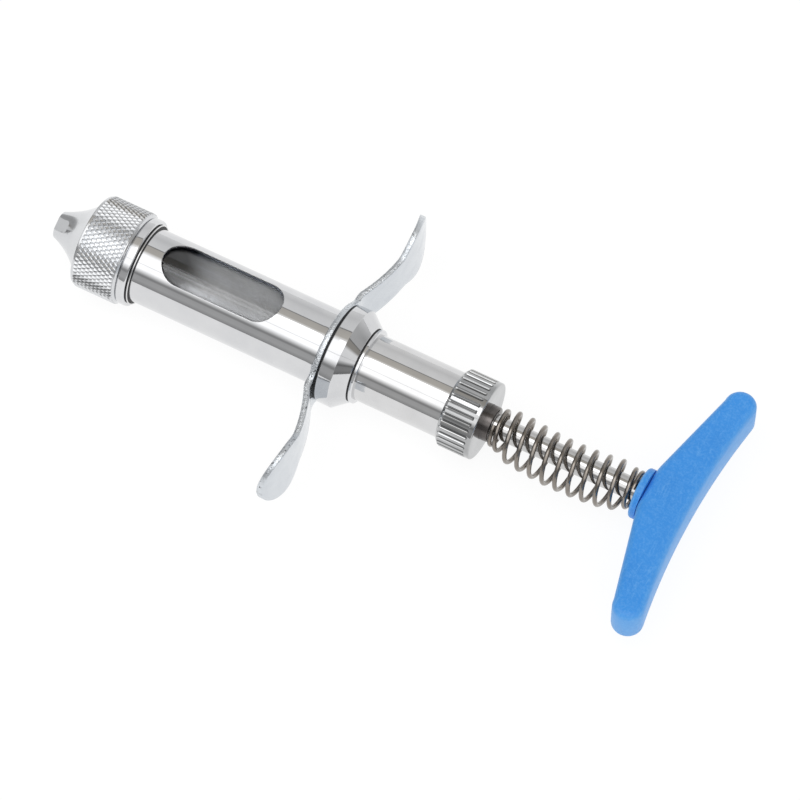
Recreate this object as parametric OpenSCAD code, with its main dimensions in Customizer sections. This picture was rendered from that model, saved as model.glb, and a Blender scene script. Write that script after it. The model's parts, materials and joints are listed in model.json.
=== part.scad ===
/* [Nose] */
// Outer radius of the nose at its mouth
mouth_r = 3.6; // [3.2:0.1:4.4]
// Length of the bell, from the mouth to the knurled grip
bell_len = 9.8; // [8:0.1:12]
// Step from the bell up to the grip
bell_step = 1.93; // [1:0.05:2.5]
// Rise of the bell per millimetre at the mouth
bell_slope_front = 0.36; // [0.2:0.01:0.5]
// Rise of the bell per millimetre where it meets the grip
bell_slope_rear = 1.25; // [1:0.05:1.6]
// Radial thickness of the knurled grip over the barrel
grip_t = 2.5; // [1.8:0.05:3.2]
// Length of the knurled grip
grip_len = 12.6; // [10:0.1:15.2]
// Chamfer on both edges of the grip
grip_edge = 0.9; // [0.3:0.1:1.2]
// Wall between the front of the grip and the cavity behind it
floor_wall = 4; // [3:0.1:5]
// Radius of the threaded socket that takes the needle
socket_r = 2.1; // [1.8:0.05:2.4]
// Depth of the needle socket
socket_depth = 7; // [6:0.1:8.5]
// Radius of the drilling from the socket to the cylinder
passage_r = 0.9; // [0.5:0.05:1.4]
// Width of the two spanner slots in the nose
slot_w = 3.4; // [2.4:0.1:4]
// Depth of the spanner slots
slot_depth = 0.45; // [0.2:0.05:0.7]
// Length of the spanner slots, from the mouth
slot_len = 4.4; // [3.5:0.1:6]
// Corner radius at the inner end of the spanner slots
slot_corner = 1.2; // [0.5:0.1:1.2]
// Turn of the spanner slots away from the sight window
slot_turn = 25; // [0:5:90]

/* [Front ring and seal] */
// Radial thickness of the plain lock ring behind the grip
ring_t = 1.82; // [1.6:0.02:2.4]
// Length of the lock ring
ring_len = 2.6; // [2:0.1:3.6]
// Rounding of the lock ring's rear edge
ring_edge = 0.8; // [0.3:0.1:0.9]
// Radial thickness of the rubber lip seal in the lock ring
seal_t = 0.75; // [0.5:0.05:1]
// How far the lip seal sits inside the lock ring
seal_depth = 0.7; // [0.5:0.1:1.5]
// How far the lip seal stands out behind the lock ring
seal_proud = 0.95; // [0.8:0.05:1.5]
// Diameter of the garter wire round the lip seal
garter_d = 0.36; // [0.2:0.02:0.44]

/* [Barrel] */
// Outer radius of the metal sleeve
barrel_r = 10.03; // [8.3:0.01:12.1]
// Wall of the metal sleeve
sleeve_wall = 1.08; // [0.9:0.01:1.3]
// Bare length of the sleeve, from the lock ring to the finger plate
barrel_len = 53.4; // [44.5:0.1:66]
// Wall of the glass cylinder
glass_wall = 0.8; // [0.7:0.01:1]
// Thickness of the two washers that seat the glass
washer_t = 1.2; // [0.8:0.1:1.8]
// How far the washers reach inside the glass bore
washer_lip = 0.3; // [0.1:0.05:0.6]
// Gap from the lock ring to the front of the sight window
window_gap = 5.9; // [4:0.1:8]
// Gap from the rear of the sight window to the finger plate
window_rear_gap = 14.2; // [12:0.1:20]
// Width of the sight window
window_w = 11.8; // [9:0.1:13]
// How far the rear tube screws into the sleeve
tube_engage = 5.2; // [4.5:0.1:5.8]

/* [Finger plate] */
// Thickness of the plate
plate_t = 1.6; // [1.2:0.1:2]
// How far the plate's hub shows outside the clamp collar
hub_margin = 0.02; // [0:0.02:1]
// Span over both wings
wing_span = 88; // [73.3:0.1:106]
// Width of the wings next to the hub
neck_w = 13; // [10:0.5:16]
// Width of the rounded paddles
paddle_w = 19.2; // [16:0.2:23]
// Length of the rounded paddles
paddle_len = 17; // [14:0.5:20]
// How far the wings lean back
wing_lean = 4.7; // [0:0.1:6]
// How far the wing tips curl forward again
tip_curl = 2.4; // [0:0.1:3]

/* [Clamp collar and rear tube] */
// Radial thickness of the clamp collar over the rear tube
collar_t = 4.38; // [3.6:0.02:5]
// Length of the collar's cylindrical band
collar_len = 3.7; // [3:0.1:5]
// Length of the collar's cone
cone_len = 3.6; // [2.5:0.1:4.5]
// Radial thickness at the small end of the cone
cone_t = 1.4; // [1:0.05:2]
// Thickness of the gasket between plate and collar
gasket_t = 0.5; // [0.3:0.05:0.8]
// Length of the seal behind the cone
collar_seal_len = 0.4; // [0.3:0.05:0.6]
// Length of the retaining ring behind the cone
retainer_len = 0.9; // [0.6:0.1:1.4]
// Wall of the rear tube
tube_wall = 1.5; // [1.2:0.05:1.8]
// Bare length of the rear tube, from the retaining ring to the end nut
tube_len = 23.6; // [19.6:0.1:32]

/* [End nut and guide bush] */
// Radial thickness of the fluted end nut over the rear tube
nut_t = 1.51; // [1.2:0.01:2.4]
// Length of the end nut
nut_len = 9.6; // [8.6:0.1:12]
// End wall of the nut
nut_wall = 2.4; // [1.6:0.1:3]
// Chamfer on the front edge of the nut
nut_edge = 0.8; // [0.3:0.1:1]
// Number of flutes round the nut
flute_count = 36; // [24:2:44]
// Radius of each flute
flute_r = 0.55; // [0.35:0.05:0.6]
// Plain rim left behind the flutes
nut_rim = 1.1; // [0.6:0.1:1.6]
// Outer radius of the guide bush's neck
bush_r = 4.7; // [4.4:0.05:5]
// Thickness of the bush's flange
flange_t = 2; // [1.6:0.1:2.4]
// How far the bush stands out behind the nut
bush_proud = 2.1; // [1.5:0.1:3]
// Section radius of the wiper ring inside the bush
wiper_r = 0.45; // [0.3:0.05:0.5]
// Thickness of the rubber buffer in front of the bush
buffer_t = 2; // [1:0.1:3]

/* [Return spring] */
// Diameter of the spring wire
wire_d = 1.2; // [1:0.05:1.3]
// Outer radius of the spring's middle coils
spring_r = 6.85; // [6.5:0.05:7.2]
// Outer radius of the spring's end coils
spring_end_r = 5.35; // [5.2:0.05:5.6]
// Number of turns, closed end turns included
coil_turns = 12; // [8:1:12]
// Closed turns at each end
closed_turns = 1; // [0.5:0.5:2]
// Angle about the axis at which the wire starts
coil_start = 115; // [0:5:355]
// How far the spring's middle bows to one side
spring_bow = 1.8; // [0:0.1:2]
// Angle about the axis towards which the spring bows
bow_turn = 205; // [0:5:355]
// Length of the spring at rest
spring_len = 40.1; // [33.4:0.1:48.2]

/* [Plunger] */
// Radius of the plunger rod
rod_r = 2.875; // [2.395:0.005:3.45]
// Radius of the rod's threaded ends
stud_r = 2.2; // [1.8:0.05:2.4]
// Length of the rod's threaded end in the handle
stud_len = 8; // [6:0.1:9]
// Length of the piston
piston_len = 6; // [5.5:0.1:6.4]
// Wall between the front of the piston and the rod's threaded end
piston_wall = 1.5; // [1:0.1:2]
// Distance from the piston's rear end to the rear end of the glass
piston_inset = 1.2; // [0.8:0.1:1.4]
// Rounding of the piston's front edge
piston_edge = 0.8; // [0.3:0.1:1.2]
// Section radius of the two piston rings
piston_ring_r = 0.6; // [0.4:0.05:0.8]
// Distance between the two piston rings
piston_ring_step = 3; // [2:0.1:4]
// Corner radius of the hexagonal lock nut behind the piston
jam_nut_r = 5; // [4.2:0.1:5.6]
// Length of the lock nut
jam_nut_len = 2.6; // [2:0.1:3]
// Radial gap between the stop collar and the rear tube
stop_gap = 0.9; // [0.3:0.1:1.2]
// Length of the stop collar
stop_len = 5; // [4:0.1:7]
// Radius of the cross pin through the stop collar
stop_pin_r = 1; // [0.6:0.1:1.2]

/* [Handle] */
// Outer radius of the spring seat in front of the handle
seat_r = 6.7; // [6.2:0.1:7.4]
// Thickness of the spring seat
seat_t = 1.9; // [1.2:0.1:3]
// Span over both arms of the handle
handle_span = 70.6; // [58.8:0.2:85]
// Depth of the handle at its middle, along the rod
handle_depth = 12.2; // [11.5:0.05:15]
// Height of the handle, across the rod
handle_h = 11.4; // [10.6:0.1:14]
// Half width of the flat in the middle of the handle's front
handle_flat = 5.5; // [5:0.1:8]
// Backward sweep of the handle's front faces
handle_sweep = 14; // [0:1:20]
// How far the ends of the rear face lean back
handle_lean = 3.2; // [0:0.1:5]
// Rounding of all the handle's edges
handle_edge = 2; // [1:0.1:3]
// Outer radius of the brass insert in the handle
insert_r = 4.3; // [3.6:0.1:4.8]
// Plastic left in front of the insert
insert_cover = 1.2; // [1:0.1:2]

/* [Fits] */
// Radial clearance of screwed and slipped pieces
screw_fit = 0.03; // [0.01:0.01:0.1]
// Radial clearance of the glass and the rear tube inside the sleeve
sleeve_fit = 0.05; // [0.01:0.01:0.1]
// Radial clearance of the piston in the glass
piston_fit = 0.03; // [0.01:0.01:0.1]
// Radial clearance of the rod in its bush and seat
rod_fit = 0.05; // [0.02:0.01:0.1]
// Radial clearance of the rubber rings on what slides through them
ring_fit = 0.02; // [0.01:0.01:0.05]
// Gap left between faces that meet at a stop or a seat
face_gap = 0.1; // [0.05:0.05:0.3]

/* [Hidden] */
$fn = 96;
past = 1; // how far a cutting shape runs past the face it cuts

// Radii that follow from one another, from the sleeve inwards
grip_r = barrel_r + grip_t;
bell_r = grip_r - bell_step;
ring_r = barrel_r + ring_t;
sleeve_in = barrel_r - sleeve_wall;
glass_r = sleeve_in - sleeve_fit;
glass_in = glass_r - glass_wall;
piston_r = glass_in - piston_fit;
tube_r = sleeve_in - sleeve_fit;
tube_in = tube_r - tube_wall;
collar_r = tube_r + collar_t;
cone_r = tube_r + cone_t;
hub_r = collar_r + hub_margin;
nut_r = tube_r + nut_t;
stop_r = tube_in - stop_gap;
rod_hole_r = rod_r + rod_fit;

// Stations along the axis, from the mouth of the nose to the handle
grip_x = bell_len;
floor_x = grip_x + floor_wall;
glass_x = floor_x + washer_t;
ring_x = grip_x + grip_len;
ring_end_x = ring_x + ring_len;
window_x = ring_end_x + window_gap;
window_len = barrel_len - window_gap - window_rear_gap;
plate_x = ring_end_x + barrel_len;
plate_rear_x = plate_x + plate_t;
collar_x = plate_rear_x + gasket_t;
cone_x = collar_x + collar_len;
cone_end_x = cone_x + cone_len;
retainer_x = cone_end_x + collar_seal_len;
tube_bare_x = retainer_x + retainer_len;
tube_front_x = plate_x - tube_engage;
glass_end_x = tube_front_x - washer_t;
nut_x = tube_bare_x + tube_len;
nut_end_x = nut_x + nut_len;
nut_floor_x = nut_end_x - nut_wall;
tube_end_x = nut_floor_x - flange_t;
spring_x = nut_end_x + bush_proud;
seat_x = spring_x + spring_len;
handle_x = seat_x + seat_t + rod_fit;
handle_rear_x = handle_x + handle_depth;

// Plunger stations, with the spring holding it back
piston_end_x = glass_end_x - piston_inset;
piston_x = piston_end_x - piston_len;
piston_stud_x = piston_x + piston_wall;
buffer_x = tube_end_x - buffer_t;
stop_x = buffer_x - face_gap - stop_len;
insert_x = handle_x + insert_cover;

// Bell of the nose: one quadratic curve with the two slopes as tangents
bell_knee_x = (bell_slope_rear * bell_len - (bell_r - mouth_r))
    / (bell_slope_rear - bell_slope_front);
bell_knee_r = mouth_r + bell_slope_front * bell_knee_x;
function bell_point(t) = [
    (1 - t) * (1 - t) * mouth_r + 2 * t * (1 - t) * bell_knee_r + t * t * bell_r,
    2 * t * (1 - t) * bell_knee_x + t * t * bell_len
];
// Share of the curve used up at a distance x from the mouth
function bell_share(x) =
    x / (bell_knee_x + sqrt(bell_knee_x * bell_knee_x + (bell_len - 2 * bell_knee_x) * x));

// Points of an arc round [cx, cy] from angle a to angle b
function arc(cx, cy, r, a, b, steps = 8) = [
    for (i = [0:steps]) [
        cx + r * cos(a + (b - a) * i / steps),
        cy + r * sin(a + (b - a) * i / steps)
    ]
];

// The larger of two values, blended over the width k where they are close
function blend_max(a, b, k) =
    let (h = max(k - abs(a - b), 0) / k) max(a, b) + h * h * k / 4;

// A ramp that starts at 0 with a short bend of half width k
function soft_ramp(d, k) = d < -k ? 0 : d > k ? d : (d + k) * (d + k) / (4 * k);

// Body of revolution about the X axis, from [radius, x] points
module turned(profile) {
    rotate([0, 90, 0]) rotate_extrude() polygon(profile);
}

// Plain ring about the X axis
module ring(x0, x1, inner, outer) {
    turned([[inner, x0], [outer, x0], [outer, x1], [inner, x1]]);
}

// Ring of round section about the X axis
module round_ring(x, r, section_r) {
    rotate([0, 90, 0]) rotate_extrude() translate([r, x]) circle(section_r, $fn = 32);
}

// Solid bar about the X axis
module bar(x0, x1, r) {
    translate([x0, 0, 0]) rotate([0, 90, 0]) cylinder(r = r, h = x1 - x0);
}

module spanner_slot() {
    rise = bell_point(bell_share(slot_len))[0] - mouth_r;
    run = slot_len - slot_corner;
    translate([0, 0, mouth_r - slot_depth]) rotate([0, -atan(rise / slot_len), 0]) {
        translate([-past, -slot_w / 2, 0]) cube([run + past, slot_w, bell_r]);
        translate([0, slot_corner - slot_w / 2, 0])
            cube([slot_len, slot_w - 2 * slot_corner, bell_r]);
        for (side = [-1, 1]) {
            translate([run, side * (slot_w / 2 - slot_corner), 0])
                cylinder(r = slot_corner, h = bell_r);
        }
    }
}

module nose_cap() {
    color("silver") difference() {
        turned(concat(
            [[passage_r, 0]],
            [for (i = [0:12]) bell_point(i / 12)],
            [
                [grip_r - grip_edge, grip_x], [grip_r, grip_x + grip_edge],
                [grip_r, ring_x - grip_edge / 2], [grip_r - grip_edge / 2, ring_x],
                [barrel_r + screw_fit, ring_x], [barrel_r + screw_fit, floor_x],
                [passage_r, floor_x]
            ]
        ));
        bar(-past, socket_depth, socket_r);
        for (turn = [0, 180]) {
            rotate([slot_turn + turn, 0, 0]) spanner_slot();
        }
    }
}

module nose_washer() {
    color("ivory") ring(floor_x, glass_x, glass_in - washer_lip, barrel_r);
}

module lock_ring() {
    seal_seat_r = barrel_r + screw_fit + seal_t;
    color("silver") turned(concat(
        [[barrel_r + screw_fit, ring_x], [ring_r, ring_x]],
        arc(ring_r - ring_edge, ring_end_x - ring_edge, ring_edge, 0, 90),
        [
            [seal_seat_r, ring_end_x], [seal_seat_r, ring_end_x - seal_depth],
            [barrel_r + screw_fit, ring_end_x - seal_depth]
        ]
    ));
}

// Middle of the groove that holds the garter wire
garter_x = ring_end_x + seal_proud / 2;
garter_ring_r = barrel_r + screw_fit + seal_t;

module front_seal() {
    color("#18181a") difference() {
        ring(ring_end_x - seal_depth, ring_end_x + seal_proud, barrel_r, garter_ring_r);
        round_ring(garter_x, garter_ring_r, garter_d / 2 + ring_fit);
    }
}

module garter_wire() {
    color("gainsboro") round_ring(garter_x, garter_ring_r, garter_d / 2);
}

module window_cut() {
    half = window_w / 2;
    for (x = [window_x + half, window_x + window_len - half]) {
        translate([x, 0, 0]) cylinder(r = half, h = barrel_r + past);
    }
    translate([window_x + half, -half, 0])
        cube([window_len - window_w, window_w, barrel_r + past]);
}

module barrel_sleeve() {
    color("gainsboro") difference() {
        ring(glass_x, plate_x, sleeve_in, barrel_r);
        window_cut();
    }
}

module glass_cylinder() {
    color("lightsteelblue", 0.4) ring(glass_x, glass_end_x, glass_in, glass_r);
}

module rear_washer() {
    color("ivory") ring(glass_end_x, tube_front_x, glass_in - washer_lip, glass_r);
}

// Plate: how far its rear face leans back at a distance a from the axis
bend_half = 0.9;
bend_a = hub_r + bend_half;
wing_half = wing_span / 2;
paddle_mid = wing_half - paddle_len / 2;
function plate_lean(a) = let (
    u = min(1, soft_ramp(a - bend_a, bend_half) / (paddle_mid - 2 - bend_a)),
    v = max(0, (a - paddle_mid + 2) / (paddle_len / 2 + 2))
) wing_lean * (1 - (1 - u) * (1 - u)) - tip_curl * v * v;
function plate_slope(a) = (plate_lean(a + 0.1) - plate_lean(a - 0.1)) / 0.2;
function plate_rear(y) = plate_rear_x + plate_lean(abs(y));
function plate_front(y) =
    plate_rear(y) - plate_t * sqrt(1 + plate_slope(abs(y)) * plate_slope(abs(y)));

// Plate: half its width at a distance a from the axis
function hub_half(a) = a < hub_r ? sqrt(hub_r * hub_r - a * a) : 0;
function paddle_half(a) =
    let (u = (a - paddle_mid) / (paddle_len / 2)) abs(u) < 1 ? paddle_w / 2 * sqrt(1 - u * u) : 0;
function plate_half(a) =
    blend_max(blend_max(hub_half(a), neck_w / 2, 2.5), paddle_half(a), 2.5);

plate_side = concat(
    [for (a = [0:1:paddle_mid]) [a, plate_half(a)]],
    [for (i = [0:16]) [
        paddle_mid + paddle_len / 2 * sin(i * 90 / 16),
        blend_max(paddle_w / 2, neck_w / 2, 2.5) * cos(i * 90 / 16)
    ]]
);
plate_edge = concat(
    [for (i = [len(plate_side) - 1:-1:1]) [-plate_side[i][0], plate_side[i][1]]],
    plate_side
);

// Plate seen along the axis: the upper edge and its mirror image
module plate_outline() {
    polygon(concat(
        plate_edge,
        [for (i = [len(plate_edge) - 2:-1:1]) [plate_edge[i][0], -plate_edge[i][1]]]
    ));
}

module finger_plate() {
    steps = ceil(wing_half);
    ys = [for (i = [-steps:steps]) i * wing_half / steps];
    color("lightsteelblue") difference() {
        intersection() {
            translate([0, 0, -paddle_w]) linear_extrude(2 * paddle_w) polygon(concat(
                [for (y = ys) [plate_rear(y), y]],
                [for (i = [2 * steps:-1:0]) [plate_front(ys[i]), ys[i]]]
            ));
            translate([plate_x - past, 0, 0]) rotate([90, 0, 90])
                linear_extrude(plate_t + wing_lean + 2 * past) plate_outline();
        }
        bar(plate_x - past, plate_rear_x + past, tube_r + screw_fit);
    }
}

module plate_gasket() {
    color("#202022") ring(plate_rear_x, collar_x, tube_r + screw_fit, collar_r - 0.4);
}

module clamp_collar() {
    color("silver") turned([
        [tube_r + screw_fit, collar_x], [collar_r - 0.2, collar_x],
        [collar_r, collar_x + 0.2], [collar_r, cone_x],
        [cone_r, cone_end_x], [tube_r + screw_fit, cone_end_x]
    ]);
}

module collar_seal() {
    color("#18181a") ring(cone_end_x, retainer_x, tube_r, cone_r - 0.35);
}

module retaining_ring() {
    edge = 0.25;
    outer = cone_r - 0.25;
    color("gainsboro") turned(concat(
        [[tube_r, retainer_x], [outer, retainer_x]],
        arc(outer - edge, tube_bare_x - edge, edge, 0, 90, 4),
        [[tube_r, tube_bare_x]]
    ));
}

module rear_tube() {
    color("silver") ring(tube_front_x, tube_end_x, tube_in, tube_r);
}

module end_nut() {
    color("darkgray") difference() {
        turned([
            [bush_r + screw_fit, nut_floor_x], [tube_r + screw_fit, nut_floor_x],
            [tube_r + screw_fit, nut_x], [nut_r - nut_edge, nut_x],
            [nut_r, nut_x + nut_edge], [nut_r, nut_end_x - 0.3],
            [nut_r - 0.3, nut_end_x], [bush_r + screw_fit, nut_end_x]
        ]);
        for (i = [0:flute_count - 1]) {
            rotate([i * 360 / flute_count, 0, 0])
                translate([nut_x - past, 0, nut_r + flute_r / 3])
                rotate([0, 90, 0])
                cylinder(r = flute_r, h = nut_len - nut_rim + past, $fn = 16);
        }
    }
}

// Wiper groove inside the bush's flange
wiper_x = tube_end_x + flange_t / 2;
wiper_ring_r = rod_r + ring_fit + wiper_r;

module guide_bush() {
    color("dimgray") difference() {
        turned([
            [rod_hole_r, tube_end_x], [tube_r - 0.1, tube_end_x],
            [tube_r - 0.1, nut_floor_x], [bush_r, nut_floor_x],
            [bush_r, spring_x], [rod_hole_r, spring_x]
        ]);
        ring(wiper_x - wiper_r, wiper_x + wiper_r, 0, wiper_ring_r + wiper_r);
    }
}

module wiper_ring() {
    color("#18181a") round_ring(wiper_x, wiper_ring_r, wiper_r);
}

module stop_buffer() {
    color("#18181a") ring(buffer_x, tube_end_x, rod_r + 0.4, tube_in - 0.1);
}

// Spring: closed turns at the ends, an even pitch between them
coil_step = 20;
turn_end = 360 * coil_turns;
turn_open = 360 * closed_turns;
spring_rise = spring_len - 2 * face_gap - wire_d;
closed_rise = wire_d * 1.03 * closed_turns;
open_rise = spring_rise - 2 * closed_rise;
function coil_rise(turn) =
    turn < turn_open ? closed_rise * turn / turn_open
    : turn > turn_end - turn_open ? spring_rise - closed_rise * (turn_end - turn) / turn_open
    : closed_rise + open_rise * (turn - turn_open) / (turn_end - 2 * turn_open);
function coil_radius(turn) = let (
    from_end = min(turn, turn_end - turn) / 360,
    u = max(0, min(1, (from_end - 0.75) / 1.5))
) spring_end_r + (spring_r - spring_end_r) * u * u * (3 - 2 * u) - wire_d / 2;
function coil_bow(turn) = spring_bow * sin(180 * coil_rise(turn) / spring_rise);

module return_spring() {
    sides = 6;
    rings = turn_end / coil_step;
    first_x = spring_x + face_gap + wire_d / 2;
    points = [
        for (i = [0:rings], s = [0:sides - 1]) let (
            turn = i * coil_step,
            r = coil_radius(turn) + wire_d / 2 * cos(s * 360 / sides),
            bow = coil_bow(turn)
        ) [
            first_x + coil_rise(turn) + wire_d / 2 * sin(s * 360 / sides),
            r * cos(coil_start + turn) + bow * cos(bow_turn),
            r * sin(coil_start + turn) + bow * sin(bow_turn)
        ]
    ];
    color("dimgray") polyhedron(
        points = points,
        faces = concat(
            [for (i = [0:rings - 1], s = [0:sides - 1]) let (n = (s + 1) % sides) [
                i * sides + s, (i + 1) * sides + s, (i + 1) * sides + n, i * sides + n
            ]],
            [[for (s = [0:sides - 1]) s]],
            [[for (s = [sides - 1:-1:0]) rings * sides + s]]
        )
    );
}

module spring_seat() {
    edge = 0.5;
    color("#1565c0") turned(concat(
        [[rod_hole_r, seat_x], [seat_r - edge, seat_x]],
        arc(seat_r - edge, seat_x + edge, edge, -90, 0, 4),
        [[seat_r, seat_x + seat_t], [rod_hole_r, seat_x + seat_t]]
    ));
}

module plunger_rod() {
    color("gainsboro") difference() {
        union() {
            bar(piston_stud_x, piston_end_x, stud_r);
            bar(piston_end_x, insert_x, rod_r);
            bar(insert_x, insert_x + stud_len, stud_r);
        }
        stop_pin_shape(0);
    }
}

module stop_pin_shape(extra) {
    translate([stop_x + stop_len / 2, 0, -stop_r - extra])
        cylinder(r = stop_pin_r, h = 2 * (stop_r + extra));
}

module stop_collar() {
    color("silver") difference() {
        ring(stop_x, stop_x + stop_len, rod_r, stop_r);
        stop_pin_shape(past);
    }
}

module stop_pin() {
    color("dimgray") stop_pin_shape(-0.5);
}

// Piston rings sit in two grooves close to the piston's rear end
ring_front_x = piston_end_x - 2 * piston_ring_r - piston_ring_step;
ring_rear_x = ring_front_x + piston_ring_step;
piston_ring_mid_r = glass_in - ring_fit - piston_ring_r;

module piston() {
    color("lightgray") difference() {
        turned(concat(
            [[0, piston_x]],
            arc(piston_r - piston_edge, piston_x + piston_edge, piston_edge, -90, 0),
            [[piston_r, piston_end_x], [0, piston_end_x]]
        ));
        bar(piston_stud_x, piston_end_x + past, stud_r);
        for (x = [ring_front_x, ring_rear_x]) {
            ring(x - piston_ring_r, x + piston_ring_r, piston_ring_mid_r - piston_ring_r, piston_r + past);
        }
    }
}

module piston_ring_front() {
    color("#18181a") round_ring(ring_front_x, piston_ring_mid_r, piston_ring_r);
}

module piston_ring_rear() {
    color("#18181a") round_ring(ring_rear_x, piston_ring_mid_r, piston_ring_r);
}

module piston_lock_nut() {
    color("goldenrod") difference() {
        translate([piston_end_x, 0, 0]) rotate([0, 90, 0])
            cylinder(r = jam_nut_r, h = jam_nut_len, $fn = 6);
        bar(piston_end_x - past, piston_end_x + jam_nut_len + past, rod_r);
    }
}

// Handle seen from above: swept front, hollow rear, round ends
function handle_front(a) = handle_x + soft_ramp(a - handle_flat, 2) * tan(handle_sweep);
function handle_rear(a) =
    let (u = a / (handle_span / 2)) handle_rear_x + handle_lean * u * u;
function handle_end_gap(a) = (handle_rear(a) - handle_front(a)) / 2 + a - handle_span / 2;
// Distance from the axis to the middle of the round ends, where the ends just reach the span
function handle_end(a, tries) =
    tries == 0 ? a : handle_end(a - handle_end_gap(a) / 2, tries - 1);
arm_a = handle_end(handle_span / 2, 24);
arm_mid_x = (handle_rear(arm_a) + handle_front(arm_a)) / 2;
arm_end_r = (handle_rear(arm_a) - handle_front(arm_a)) / 2;

module handle_outline() {
    steps = 24;
    as = [for (i = [-steps:steps]) i * arm_a / steps];
    polygon(concat(
        [for (a = as) [handle_rear(abs(a)), a]],
        arc(arm_mid_x, arm_a, arm_end_r, 7.5, 172.5, 12),
        [for (i = [2 * steps:-1:0]) [handle_front(abs(as[i])), as[i]]],
        arc(arm_mid_x, -arm_a, arm_end_r, 187.5, 352.5, 12)
    ));
}

module t_handle() {
    edge = min(handle_edge, handle_h / 2 - 0.5);
    color("#1976d2") difference() {
        minkowski() {
            translate([0, 0, edge - handle_h / 2]) linear_extrude(handle_h - 2 * edge)
                offset(delta = -edge) handle_outline();
            sphere(edge, $fn = 20);
        }
        bar(handle_x - past, insert_x + past, rod_r);
        bar(insert_x, insert_x + stud_len, insert_r);
    }
}

module handle_insert() {
    color("goldenrod") ring(insert_x, insert_x + stud_len, stud_r, insert_r);
}

nose_cap();
nose_washer();
lock_ring();
front_seal();
garter_wire();
barrel_sleeve();
glass_cylinder();
rear_washer();
finger_plate();
plate_gasket();
clamp_collar();
collar_seal();
retaining_ring();
rear_tube();
end_nut();
guide_bush();
wiper_ring();
stop_buffer();
return_spring();
spring_seat();
plunger_rod();
stop_collar();
stop_pin();
piston();
piston_ring_front();
piston_ring_rear();
piston_lock_nut();
t_handle();
handle_insert();
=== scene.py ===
"""Looks of a spring-return metal syringe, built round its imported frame.

Every shape is worked out in millimetres and becomes an object in metres. The X axis runs
from the mouth of the nose to the handle, the Y axis along the finger plate.
"""

from __future__ import annotations

import json
import logging
import math
from collections.abc import Callable, Sequence
from dataclasses import dataclass
from enum import Enum
from functools import partial

import bmesh
import bpy
import numpy as np
from mathutils import Matrix, Vector

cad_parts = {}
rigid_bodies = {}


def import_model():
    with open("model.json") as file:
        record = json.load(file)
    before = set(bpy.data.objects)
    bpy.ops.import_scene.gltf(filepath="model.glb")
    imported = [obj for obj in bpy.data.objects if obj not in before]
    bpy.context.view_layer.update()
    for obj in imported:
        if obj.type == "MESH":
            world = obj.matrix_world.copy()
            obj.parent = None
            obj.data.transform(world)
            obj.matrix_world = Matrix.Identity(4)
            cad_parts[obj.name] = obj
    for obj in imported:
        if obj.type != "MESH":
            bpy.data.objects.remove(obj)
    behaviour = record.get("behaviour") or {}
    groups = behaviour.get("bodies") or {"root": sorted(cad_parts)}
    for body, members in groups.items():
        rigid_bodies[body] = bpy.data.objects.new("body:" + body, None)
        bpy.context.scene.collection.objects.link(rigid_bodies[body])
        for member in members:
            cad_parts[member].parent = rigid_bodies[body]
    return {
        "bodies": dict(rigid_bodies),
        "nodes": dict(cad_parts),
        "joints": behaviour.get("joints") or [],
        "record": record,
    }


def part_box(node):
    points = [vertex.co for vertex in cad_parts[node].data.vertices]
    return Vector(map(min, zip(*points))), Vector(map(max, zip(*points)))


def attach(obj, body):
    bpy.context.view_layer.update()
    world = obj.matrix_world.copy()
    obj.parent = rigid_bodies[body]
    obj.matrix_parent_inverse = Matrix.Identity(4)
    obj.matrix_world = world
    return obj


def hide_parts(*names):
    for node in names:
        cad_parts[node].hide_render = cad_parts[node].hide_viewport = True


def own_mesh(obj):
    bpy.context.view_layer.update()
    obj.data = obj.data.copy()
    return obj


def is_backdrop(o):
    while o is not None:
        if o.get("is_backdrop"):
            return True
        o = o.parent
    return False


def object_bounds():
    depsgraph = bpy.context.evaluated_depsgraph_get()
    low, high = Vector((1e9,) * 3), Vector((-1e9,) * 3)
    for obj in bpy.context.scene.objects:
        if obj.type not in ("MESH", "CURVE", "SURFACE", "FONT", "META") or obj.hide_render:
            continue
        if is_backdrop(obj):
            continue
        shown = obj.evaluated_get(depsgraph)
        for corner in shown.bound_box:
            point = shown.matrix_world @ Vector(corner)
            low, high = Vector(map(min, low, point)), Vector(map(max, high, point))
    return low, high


LOG = logging.getLogger("syringe")
MM = 0.001
FINE, MEDIUM, COARSE = 192, 144, 96  # Points round a turned piece.
SHARP = 38.0  # Angle in degrees above which an edge is shown sharp.
MERGE, SLIVER = 0.0004, 0.0002  # Points this close, and edges this short, are merged.
Colour = tuple[float, float, float]
Radius = float | np.ndarray
Socket = bpy.types.NodeSocket
Stops = Sequence[tuple[float, Colour]]


class Body(Enum):
    """Moving groups of the frame."""

    BARREL = "barrel"
    SEAT = "seat"
    PLUNGER = "plunger"


class Grain(Enum):
    """Direction of the fine tool marks on a metal face."""

    TURNED = "turned"
    LAPPED = "lapped"


@dataclass(frozen=True)
class Gauge:
    """Reach of one frame node in millimetres; r is the outer radius of a turned node."""

    x0: float
    x1: float
    y: float
    r: float

    @classmethod
    def of(cls, node: str) -> Gauge:
        """Measure the named node of the frame and return its reach."""
        low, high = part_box(node)
        return cls(low.x / MM, high.x / MM, high.y / MM, high.z / MM)


@dataclass(frozen=True)
class Turn:
    """One corner of a turned outline, with how far its edge is broken."""

    x: float
    r: float
    soften: float = 0.0


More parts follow.
